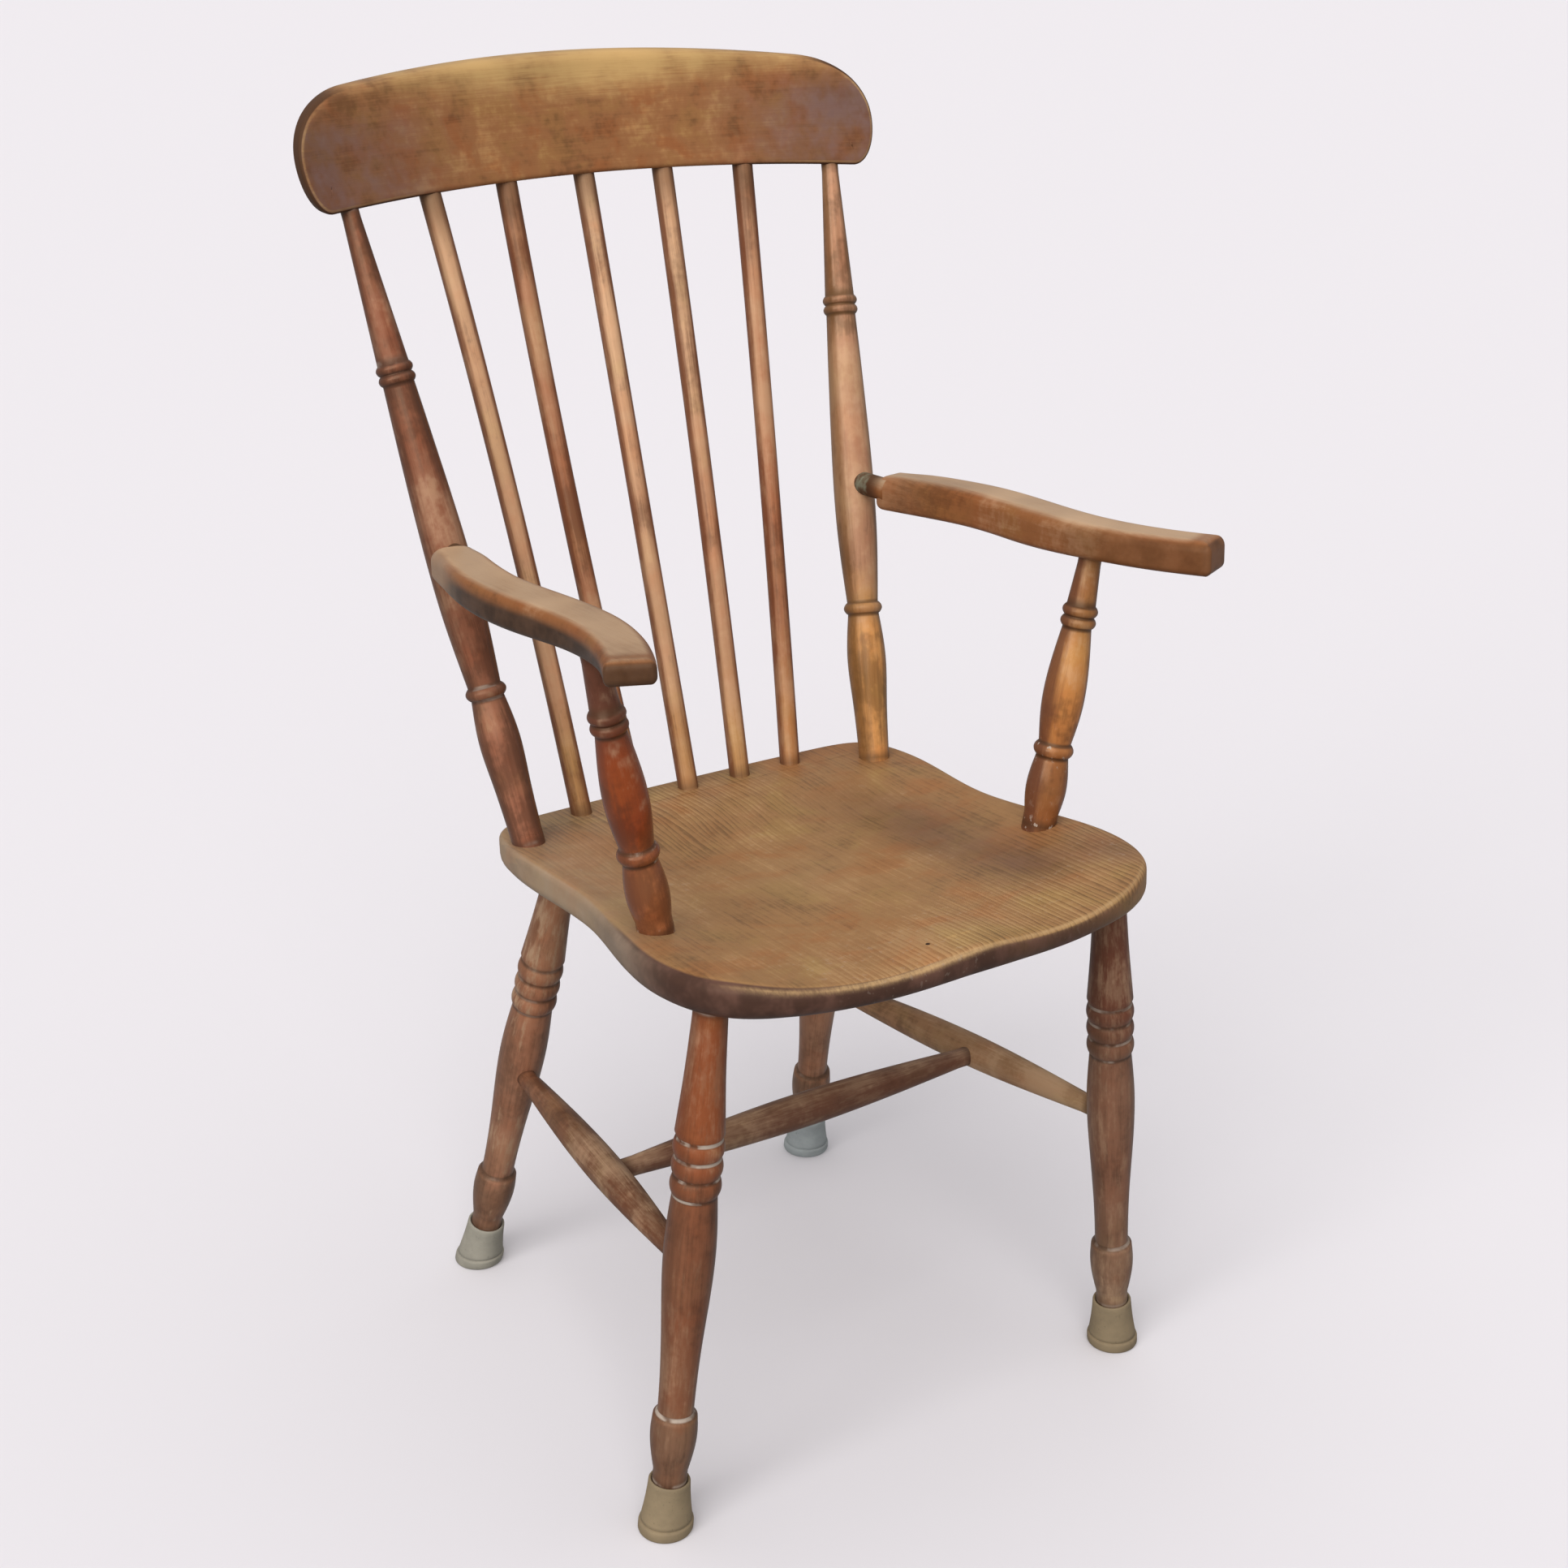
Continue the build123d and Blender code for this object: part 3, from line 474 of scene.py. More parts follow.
def wood(
    name, tone, *, bands=(), pale=None, coarse=300.0, lines=0.12, line_gap=0.005, wander=2.0, fibre=0.3,
    mottle=1.0, clouds=1.7, tint=0.5, warm=1.0, worn=0.0, grime=0.0, soil=None, blotch=0.7,
    groove_dark=0.65, dirt=0.0, dirt_top=1.0, flecks=0.0, scuffs=0.0, sides=0.0, edge_finish_and_shade_span=(0.5, 0.98),
    kept=None, dust=0.0, figured=False, roughness=0.4, gloss=0.2, spots=(),
):
    """Old finished wood: growth lines and fibres along the grain, mottled, worn and soiled.

    bands are (low, high, tone): up a stick, the wood turns to that tone between these shares of its
    length. spots are (place, radius, tone) stains. pale is the bare wood, soil the dirt on sides and
    ends. sides darkens a stick's sides, away from its pale worn and lit side, to the tone kept: kept
    finish and painted edge shade. Figured wood has its own map of growth lines.
    """
    colours = given("chair_colours")
    pale = pale or colours.worn
    material, graph, surface = new_material(name)
    grain = graph.attribute("grain", "Vector")
    groove = graph.attribute("groove")
    rise = graph.attribute("rise")
    place = graph.node("ShaderNodeTexCoord", {}, {}, "Object")
    drift = graph.noise(grain, DRIFT_WAVES, 3.0)
    wobble = graph.noise(grain, WOBBLE_WAVES, 2.0, 0.6)
    streak = graph.noise(grain, (coarse, coarse, coarse * 0.028), 4.0, 0.62)
    flake = graph.noise(grain, (coarse * 3.0, coarse * 3.0, coarse * 0.14), 2.0, 0.6)
    cloud = graph.noise(place, CLOUD_WAVES, 2.0, 0.45, 0.3)
    patch = graph.noise(place, PATCH_WAVES, 3.0, 0.62)
    speck = graph.noise(place, SPECK_WAVES, 2.0, 0.6)
    warmth = graph.noise(place, tuple(waves * warm for waves in WARMTH_WAVES), 3.0, 0.6, 0.4)
    streaky, flaky, cloudy, patchy, specked = (term - 0.5 for term in (streak, flake, cloud, patch, speck))
    across, depth, _ = grain.parts()
    from_heart = ((across + HEART[0]) ** 2.0 + (depth + HEART[1]) ** 2.0) ** 0.5
    rings = from_heart / line_gap + drift * wander + wobble * 2.2
    growth = rings.math("FRACT", rings) ** 1.6
    figure = graph.attribute("figure") if figured else 0.35 + cloud.step(0.38, 0.62) * 0.65
    value = (
        0.5
        + (cloudy * clouds + patchy * blotch * 1.4 + specked * 0.5) * mottle
        + (streaky * 1.2 + flaky * 0.6) * fibre
        - (growth - 0.38) * figure * lines
    )

    def ramp(tone):
        dark = shade(blend(tone, colours.grime, 0.2), 0.7)
        light = shade(blend(tone, pale, 0.35), 1.15)
        shades = graph.mix(value.step(0.5, 1.05), graph.mix(value.step(-0.05, 0.5), dark, tone), light)
        shades = graph.mix(warmth.step(0.5, 0.66) * tint, shades, REDDER, "MULTIPLY")
        return graph.mix((1 - warmth.step(0.34, 0.5)) * tint, shades, YELLOWER, "MULTIPLY")

    base = ramp(tone)
    for low, high, other in bands:
        base = graph.mix((rise + patchy * 0.12).step(low, high), base, ramp(other))
    # Kept finish and painted edge shade: the sides of a stick that turn away from its pale worn and lit side
    # are darkened
    if sides:
        rubbed = graph.attribute("rub") + streaky * 0.5 + cloudy * 0.6
        kept = kept or shade(blend(tone, colours.grime, 0.35), 0.3)
        base = graph.mix((1 - rubbed.step(*edge_finish_and_shade_span)) * sides, base, kept)
    if grime:
        soil = soil or blend(colours.grime, tone, 0.2)
        soiled = graph.attribute("grime") * (grime + patchy * blotch + cloudy * 0.8)
        stain = graph.mix(patch.step(0.35, 0.65), shade(soil, 0.7), shade(soil, 1.3))
        base = graph.mix(soiled.step(0.0, 0.9), base, stain)
    if dust:
        dusty = graph.attribute("dust") * (0.8 + patchy * 0.8 + cloudy * 0.8)
        base = graph.mix(dusty * dust, base, colours.dust)
    if worn:
        rub = patchy * blotch * 0.6 + cloudy * 0.8 + streaky * 0.5 + flaky * fibre
        bare = (graph.attribute("wear") * (worn + rub)).step(0.1, 0.9)
        rubbed = graph.mix(cloud.step(0.3, 0.7), shade(pale, 0.86), shade(pale, 1.1))
        base = graph.mix(bare, base, rubbed)
    if scuffs:
        scratch = graph.noise(grain, SCRATCH_WAVES, 4.0, 0.65)
        bare = ((scratch - 0.5) * 1.4 + cloudy * 1.2).step(-0.06, 0.28) * scuffs
        base = graph.mix(bare, base, blend(tone, pale, 0.6))
    # Dark groove marks: dirt in grooves and corners, and on the spindles' tops the crest rail's painted
    # shadow
    base = graph.mix(groove.step(0.1, 0.95) * groove_dark, base, shade(blend(tone, colours.grime, 0.6), 0.4))
    below = 1 - rise.step(dirt_top, dirt_top + 0.05)
    if dirt:
        filled = groove.step(0.45, 0.8) * (patch + cloudy * 0.8).step(0.4, 0.56) * dirt
        base = graph.mix(filled * below, base, colours.dirt)
    if flecks:
        chips = speck.step(0.62, 0.67) * (cloud + groove * 0.3).step(0.46, 0.66) * flecks
        base = graph.mix(chips * below, base, colours.dirt)
    for spot, radius, stain in spots:
        ragged = graph.vector("DISTANCE", place, spot, output="Value") / radius + specked * 0.5 + patchy * 0.8
        base = graph.mix(1 - ragged.step(0.6, 1.0), base, stain)
    sheen = roughness + streaky * 0.2 + cloudy * 0.3 + groove * 0.2
    height = streak * fibre + flake * (fibre * 0.5) + patch * 0.25 + speck * 0.1
    dress(graph, surface, base, sheen, height, 0.3, 0.0007)
    surface.inputs["Specular IOR Level"].default_value = gloss
    surface.inputs["Specular Tint"].default_value = (*SHEEN, 1.0)
    return material


def rubber(name, tone):
    """Matt rubber with pale dust and dark scuffs."""
    material, graph, surface = new_material(name)
    place = graph.node("ShaderNodeTexCoord", {}, {}, "Object")
    cloud = graph.noise(place, (40.0, 40.0, 55.0), 4.0, 0.6)
    grit = graph.noise(place, (420.0, 420.0, 420.0), 2.0)
    scuff = graph.noise(place, (130.0, 130.0, 70.0), 3.0, 0.65)
    base = graph.mix(cloud.step(0.3, 0.7), shade(tone, 0.88), shade(tone, 1.12))
    base = graph.mix(scuff.step(0.64, 0.76) * 0.4, base, shade(tone, 0.4))
    base = graph.mix(grit.step(0.68, 0.74) * 0.35, base, shade(tone, 0.4))
    dress(graph, surface, base, 0.72 + cloud * 0.2, scuff + grit * 0.3, 0.25, 0.0006)
    return material


def plain(name, tone, roughness, metallic=0.0, gloss=0.5):
    """One even colour."""
    material, _, surface = new_material(name)
    surface.inputs["Base Color"].default_value = (*tone, 1.0)
    surface.inputs["Roughness"].default_value = roughness
    surface.inputs["Metallic"].default_value = metallic
    surface.inputs["Specular IOR Level"].default_value = gloss
    return material


# Places in the frame


def on_seat(points):
    """Frame places of (across, towards the back, above the seat top) points."""
    seat = given("chair_seat")
    x, y, h = np.moveaxis(np.asarray(points, float), -1, 0)
    turn = seat.tilt
    back = y * cos(turn) + h * sin(turn) + SEAT_MIDDLE_Y
    return np.stack([x, back, seat.height - y * sin(turn) + h * cos(turn)], -1)


def from_seat(point):
    """The (across, towards the back, above the seat top) place of a frame point."""
    seat = given("chair_seat")
    turn = seat.tilt
    x, y, z = point - np.array([0, SEAT_MIDDLE_Y, seat.height])
    return np.array([x, y * cos(turn) - z * sin(turn), y * sin(turn) + z * cos(turn)])


def crest_middle():
    """Middle of the crest rail's under edge."""
    back = given("chair_back")
    return on_seat((0, SPINDLE_ROW, 0)) + back.reach * np.array([0, sin(back.lean), cos(back.lean)])


def crest_sag(x):
    """How far the crest rail comes forward at x because of its bend."""
    bend = given("chair_back").crest_bend
    return bend - np.sqrt(bend**2 - np.square(x))


def crest_thinning(x):
    """How much the crest rail has lost of its thickness at x."""
    back = given("chair_back")
    return (back.crest_thickness - back.crest_end) * np.square(2 * x / back.crest_length)


def crest_seat(x):
    """Where a stick at x enters the crest rail."""
    back = given("chair_back")
    drop = back.crest_under * (2 * x / back.crest_length) ** 2
    forward = crest_sag(x) + crest_thinning(x) / 2 + drop * tan(back.lean)
    return crest_middle() + np.array([x, -forward, -drop])


def leg_ends(end, side):
    """Foot and head of a leg's axis."""
    foot = np.array([side * LEG_FEET[end][0], LEG_FEET[end][1] + SEAT_MIDDLE_Y, 0.0])
    return foot, on_seat((side * LEG_HEADS[end][0], LEG_HEADS[end][1], 0))


def leg_point(end, side, height):
    """Point of a leg's axis at a height above the floor."""
    foot, head = leg_ends(end, side)
    return foot + (head - foot) * height / head[2]


def smooth(points, steps, start=None, end=None):
    """Curve through points with a number of steps to each span, with free or given end directions."""
    points = np.asarray(points, float)
    gaps = np.linalg.norm(np.diff(points, axis=0), axis=1)
    count = len(points)
    weights = np.zeros((count, count))
    sums = np.zeros_like(points)
    for i in range(1, count - 1):
        before, after = gaps[i - 1], gaps[i]
        last, following = points[i] - points[i - 1], points[i + 1] - points[i]
        weights[i, i - 1:i + 2] = after, 2 * (before + after), before
        sums[i] = 3 * (after / before * last + before / after * following)
    for i, inner, gap, way in ((0, 1, gaps[0], start), (-1, -2, gaps[-1], end)):
        if way is None:
            weights[i, i], weights[i, inner] = 2, 1
            sums[i] = 3 * (points[1] - points[0] if i == 0 else points[-1] - points[-2]) / gap
        else:
            weights[i, i] = 1
            sums[i] = way
    slopes = np.linalg.solve(weights, sums)
    runs = []
    for i, gap in enumerate(gaps):
        t = np.linspace(0, 1, steps, endpoint=False)[:, None]
        runs.append(
            (1 + 2 * t) * (1 - t) ** 2 * points[i] + t * (1 - t) ** 2 * gap * slopes[i]
            + t * t * (3 - 2 * t) * points[i + 1] + t * t * (t - 1) * gap * slopes[i + 1]
        )
    runs.append(points[-1:])
    return np.concatenate(runs)


def travelled(curve):
    """How far along a curve each of its points is."""
    return np.concatenate([[0], np.cumsum(np.linalg.norm(np.diff(curve, axis=0), axis=1))])


def respaced(curve, count):
    """A curve as that many evenly spaced points."""
    travel = travelled(curve)
    spots = np.linspace(0, travel[-1], count)
    return np.stack([np.interp(spots, travel, axis) for axis in curve.T], -1)


def smoothstep(value, low, high):
    """0 below low, 1 above high and smooth between them."""
    share = np.clip((value - low) / (high - low), 0, 1)
    return share * share * (3 - 2 * share)


def unit(vectors):
    """Vectors made one long."""
    vectors = np.asarray(vectors, float)
    return vectors / np.linalg.norm(vectors, axis=-1, keepdims=True)


def square_to(along, way):
    """The direction square to along that is nearest to way."""
    return unit(way - along * along.dot(way))


def turned(across, upward, away):
    """Turn of a lamp or camera with these three directions as its axes."""
    return Matrix(np.stack([across, upward, away], -1).tolist()).to_4x4()


# Meshes


def tidy(mesh):
    """Closes seams and turns all faces outwards."""
    work = bmesh.new()
    work.from_mesh(mesh)
    bmesh.ops.remove_doubles(work, verts=work.verts, dist=SEAM)
    bmesh.ops.dissolve_degenerate(work, edges=work.edges, dist=SEAM / 10)
    bmesh.ops.recalc_face_normals(work, faces=work.faces)
    work.to_mesh(mesh)
    work.free()
    mesh.shade_smooth()
    mesh.update()


def skin(name, rings, attributes):
    """Mesh over closed rings of points, with its first and last rings filled."""
    rings = np.asarray(rings, float)
    rows, count = rings.shape[:2]
    index = np.arange(rows * count).reshape(rows, count)
    after = np.roll(index, -1, axis=1)
    quads = np.stack([index[:-1], after[:-1], after[1:], index[1:]], -1).reshape(-1, 4)
    faces = quads.tolist() + [index[0][::-1].tolist(), index[-1].tolist()]
    mesh = bpy.data.meshes.new(name)
    mesh.from_pydata(rings.reshape(-1, 3).tolist(), [], faces)
    for key, values in attributes.items():
        values = np.asarray(values, float)
        kind, field = ("FLOAT_VECTOR", "vector") if values.ndim == 3 else ("FLOAT", "value")
        layer = mesh.attributes.new(key, kind, "POINT")
        layer.data.foreach_set(field, values.ravel())
    tidy(mesh)
    return mesh


def joined(name, meshes):
    """One mesh of several."""
    work = bmesh.new()
    for mesh in meshes:
        work.from_mesh(mesh)
    whole = bpy.data.meshes.new(name)
    work.to_mesh(whole)
    work.free()
    for mesh in meshes:
        bpy.data.meshes.remove(mesh)
    whole.shade_smooth()
    return whole


def place_piece(name, mesh, material, node, slot):
    """Puts a finished piece in the scene in place of its CAD node."""
    name = name.replace(" ", "_")
    mesh.name = name
    mesh.materials.clear()
    mesh.materials.append(material)
    piece = bpy.data.objects.new(name, mesh)
    bpy.context.scene.collection.objects.link(piece)
    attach(piece, "root")
    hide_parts(node)


def closed_loop(first, second):
    """One loop of the two halves of an outline, which share their ends."""
    return np.concatenate([first, second[-2:0:-1]])


def slab(first, second, upper, lower, upper_round, lower_round, margin, inward=None, deepest=0.0):
    """Rings of a board from the middle of its upper face round to that of its lower face.

    The two halves of its outline share their ends. upper and lower give the faces' levels over
    (M, 2) places. inward gives the outline drawn in by a distance, where plain offsets would cross,
    and deepest the distance at which it closes up. Returns plan places, levels, distances in from
    the outline and face marks (1 upper, 0 side, -1 lower).
    """
    loop = closed_loop(first, second)
    count = len(loop)
    partner = (-np.arange(count)) % count
    ahead = unit(np.roll(loop, -1, axis=0) - loop)
    way = unit(ahead + np.roll(ahead, 1, axis=0))
    out = np.stack([way[:, 1], -way[:, 0]], -1)
    area = np.sum(loop[:, 0] * np.roll(loop[:, 1], -1) - np.roll(loop[:, 0], -1) * loop[:, 1])
    out *= np.sign(area)
    edge_thickness = upper(loop) - lower(loop)
    fit = np.minimum(1, ROUND_SHARE * edge_thickness / (upper_round + lower_round))
    upper_round = upper_round * fit
    lower_round = lower_round * fit
    closing = inward is not None

    def offset(inset):
        return loop - out * inset[:, None]

    inward = inward or offset
    inner = inward(np.full(count, margin))
    middle = (inner + inner[partner]) / 2
    plans, levels, insets, marks = [], [], [], []

    def add(plan, level, inset, mark):
        plans.append(plan)
        levels.append(level)
        insets.append(np.broadcast_to(inset, count))
        marks.append(np.full(count, float(mark)))

    def add_face(face, rounding, mark):
        rings = []
        for share in np.linspace(0, 1, FACE_RINGS):
            depth = np.full(count, deepest + (margin - deepest) * share)
            plan = inward(depth) if closing else middle + (inner - middle) * share
            rings.append((plan, np.full(count, margin)))
        for share in np.linspace(0, 1, MARGIN_RINGS)[1:]:
            inset = margin + (rounding - margin) * share
            rings.append((inward(inset), inset))
        for plan, inset in rings if mark > 0 else rings[::-1]:
            add(plan, face(plan), inset, mark)

    add_face(upper, upper_round, 1)
    turns = np.linspace(0, pi / 2, EDGE_RINGS)
    for turn in turns[1:]:
        inset = upper_round * (1 - sin(turn))
        plan = inward(inset)
        add(plan, upper(plan) - upper_round * (1 - cos(turn)), inset, 1 - turn / pi * 2)
    high = upper(loop) - upper_round
    low = lower(loop) + lower_round
    for share in (0.25, 0.5, 0.75):
        add(loop, high + (low - high) * share, np.zeros(count), 0)
    for turn in turns[:-1]:
        inset = lower_round * (1 - cos(turn))
        plan = inward(inset)
        add(plan, lower(plan) + lower_round * (1 - sin(turn)), inset, -turn / pi * 2)
    add_face(lower, lower_round, -1)
    return np.array(plans), np.array(levels), np.array(insets), np.array(marks)


class Turning:
    """Outline of a turned stick from its foot upwards, gathered in millimetres."""

    def __init__(self):
        self.spots = []
        self.marks = []

    def run(self, *spots):
        """A stretch through (radius, height) spots, straight if there are two."""
        if len(spots) == 2:
            steps = max(1, round(abs(spots[1][1] - spots[0][1]) / STRAIGHT_STEP))
            self.spots += np.linspace(spots[0], spots[1], steps + 1).tolist()
        else:
            curve = smooth(spots, 40)
            self.spots += respaced(curve, max(12, round(travelled(curve)[-1] / CURVE_STEP))).tolist()
        return self

    def bead(self, low, high, groove, crown):
        """A half-round ring with a groove on each side."""
        for share in np.linspace(0, 1, RING_POINTS):
            radius = groove + (crown - groove) * sin(pi * share) ** 0.8
            self.spots.append([radius, low + (high - low) * share])
        self.mark(low)
        return self.mark(high)

    def mark(self, height, width=1.9, weight=1.0):
        """A dark band round the stick: dirt in a groove or corner, and painted shade where a band is laid
        wide.
        """
        self.marks.append((height, width, weight))
        return self

    def points(self):
        """(radius, groove, height) points in metres, closed at both ends."""
        spots = [self.spots[0]]
        for spot in self.spots[1:]:
            if np.hypot(spot[0] - spots[-1][0], spot[1] - spots[-1][1]) > 0.02:
                spots.append(spot)
        spots = np.array([[0, spots[0][1]], *spots, [0, spots[-1][1]]])
        groove = np.zeros(len(spots))
        for height, width, weight in self.marks:
            groove = np.maximum(groove, weight * np.exp(-(((spots[:, 1] - height) / width) ** 2)))
        return np.stack([spots[:, 0] * MM, groove, spots[:, 1] * MM], -1)


def ringed_turning(reach, feet, vase, ring, ring_shape, belly, top, fine_shape, tip, tenon):
    """Outline of a stick with a ring above its foot and two fine rings that end at top.

    feet are its radii in the seat and at the seat top, vase and belly the (radius, height) spots
    below and above the ring, and tip the radius of its upper tenon. All is in millimetres.
    """
    wide, groove, crown = ring_shape
    fine, neck, rim = fine_shape
    turning = Turning()
    turning.run((feet[0], -SEAT_TENON), (feet[1], SHOULDER))
    turning.run((feet[1], SHOULDER), *vase, (groove, ring))
    turning.bead(ring, ring + wide, groove, crown)
    turning.run((groove, ring + wide), *belly, (neck, top - 2 * fine))
    turning.bead(top - 2 * fine, top - fine, neck, rim)
    turning.bead(top - fine, top, neck, rim)
    turning.run((neck, top), (tip, reach - SHOULDER))
    return turning.run((tip, reach - SHOULDER), (tip, reach + tenon))


def turning_tree():
    """Node tree that turns an outline of (radius, groove, height) points into a stick."""
    tree = bpy.data.node_groups.get("Turned stick")
    if tree:
        return tree
    tree = bpy.data.node_groups.new("Turned stick", "GeometryNodeTree")
    kinds = {
        "Outline": "Geometry", "Sides": "Int", "Foot": "Vector", "Across": "Vector", "Side": "Vector",
        "Along": "Vector", "Length": "Float", "Bow": "Vector", "Rubbed": "Vector", "Out of Round": "Float",
        "Seed": "Float", "Material": "Material",
    }
    for name, kind in kinds.items():
        tree.interface.new_socket(name=name, in_out="INPUT", socket_type=f"NodeSocket{kind}")
    tree.interface.new_socket(name="Stick", in_out="OUTPUT", socket_type="NodeSocketGeometry")
    graph = Graph(tree)
    entry = tree.nodes.new("NodeGroupInput")
    value = {name: Term(graph, entry.outputs[name]) for name in kinds}
    count = graph.node(
        "GeometryNodeAttributeDomainSize", {"component": "MESH"}, {0: value["Outline"]}, "Point Count"
    )
    grid = graph.node(
        "GeometryNodeMeshGrid",
        {},
        {"Size X": 1.0, "Size Y": 1.0, "Vertices X": value["Sides"] + 1, "Vertices Y": count},
    )
    position = graph.node("GeometryNodeInputPosition", {}, {})
    round_share, rise_share, _ = position.parts()
    row = (rise_share + 0.5) * (count - 1)
    row = row.math("ROUND", row) + 0.1
    spot = graph.node(
        "GeometryNodeSampleIndex",
        {"data_type": "FLOAT_VECTOR", "domain": "POINT"},
        {"Geometry": value["Outline"], "Value": position, "Index": row},
    )
    radius, groove, height = spot.parts()
    turn = (round_share + 0.5) * (2 * pi)
    east = turn.math("COSINE", turn)
    north = turn.math("SINE", turn)
    around = graph.combine(east + value["Seed"] * 3.7, north, height * 14.0)
    unevenness = graph.noise(around, (0.9, 0.9, 1.0), 1.0) - 0.5
    radius = radius * (1 + unevenness * value["Out of Round"])
    outward = graph.vector("ADD", graph.scaled(value["Across"], east), graph.scaled(value["Side"], north))
    share = height / value["Length"]
    bend = graph.scaled(value["Bow"], share * (1 - share) * 4)
    place = graph.vector("ADD", value["Foot"], graph.scaled(value["Along"], height))
    place = graph.vector("ADD", place, graph.scaled(outward, radius))
    place = graph.vector("ADD", place, bend)
    seed = value["Seed"]
    grain = graph.combine(radius * east + seed * 0.37, radius * north + seed * 0.71, height + seed * 1.31)
    upward = outward.parts()[2]
    upward = upward.math("MAXIMUM", upward, 0.0)
    # How far each point faces the pale worn and lit side; the wood paints edge shade over kept finish on the
    # other sides
    rubbed = graph.vector("DOT_PRODUCT", outward, value["Rubbed"], output="Value")
    stick = grid
    for name, kind, field in (
        ("grain", "FLOAT_VECTOR", grain), ("groove", "FLOAT", groove), ("wear", "FLOAT", upward),
        ("rise", "FLOAT", share), ("rub", "FLOAT", rubbed),
    ):
        stick = graph.node(
            "GeometryNodeStoreNamedAttribute",
            {"data_type": kind, "domain": "POINT"},
            {"Geometry": stick, "Name": name, "Value": field},
        )
    stick = graph.node("GeometryNodeSetPosition", {}, {"Geometry": stick, "Position": place})
    stick = graph.node("GeometryNodeMergeByDistance", {}, {"Geometry": stick, "Distance": SEAM})
    stick = graph.node("GeometryNodeRealizeInstances", {}, {"Geometry": stick})
    stick = graph.node("GeometryNodeSetMaterial", {}, {"Geometry": stick, "Material": value["Material"]})
    graph.node("NodeGroupOutput", {}, {"Stick": stick})
    return tree


def turned_stick(name, turning, foot, head, material, seed, *, bow=(0, 0, 0), sides=56):
    """Mesh of a turned stick from foot to head."""
    outline = bpy.data.meshes.new(f"{name} outline")
    outline.from_pydata(turning.points().tolist(), [], [])
    source = bpy.data.objects.new(f"{name} outline", outline)
    bpy.context.scene.collection.objects.link(source)
    reach = np.linalg.norm(head - foot)
    along = unit(head - foot)
    across = square_to(along, (0.0, 1.0, 0.0) if abs(along[0]) > abs(along[2]) else (1.0, 0.0, 0.0))
    tree = turning_tree()
    settings = {
        "Sides": sides, "Foot": foot, "Across": across, "Side": np.cross(along, across), "Along": along,
        "Length": float(reach), "Bow": bow, "Rubbed": WORN_AND_LIT_SIDE, "Out of Round": OUT_OF_ROUND, "Seed": seed,
        "Material": material,
    }
    modifier = source.modifiers.new("Turning", "NODES")
    modifier.node_group = tree
    for item in tree.interface.items_tree:
        if item.in_out == "INPUT" and item.name in settings:
            chosen = settings[item.name]
            if item.socket_type == "NodeSocketVector":
                chosen = [float(v) for v in chosen]
            modifier[item.identifier] = chosen
    bpy.context.view_layer.update()
    seen = source.evaluated_get(bpy.context.evaluated_depsgraph_get())
    mesh = bpy.data.meshes.new_from_object(seen)
    source.modifiers.remove(modifier)
    bpy.data.objects.remove(source)
    bpy.data.meshes.remove(outline)
    tidy(mesh)
    return mesh


def place_stick(name, turning, foot, head, material, seed, node, slot, **shape):
    """Turns a stick and puts it in the scene in place of its CAD node."""
    mesh = turned_stick(name, turning, foot, head, material, seed, **shape)
    place_piece(name, mesh, material, node, slot)


# Pieces


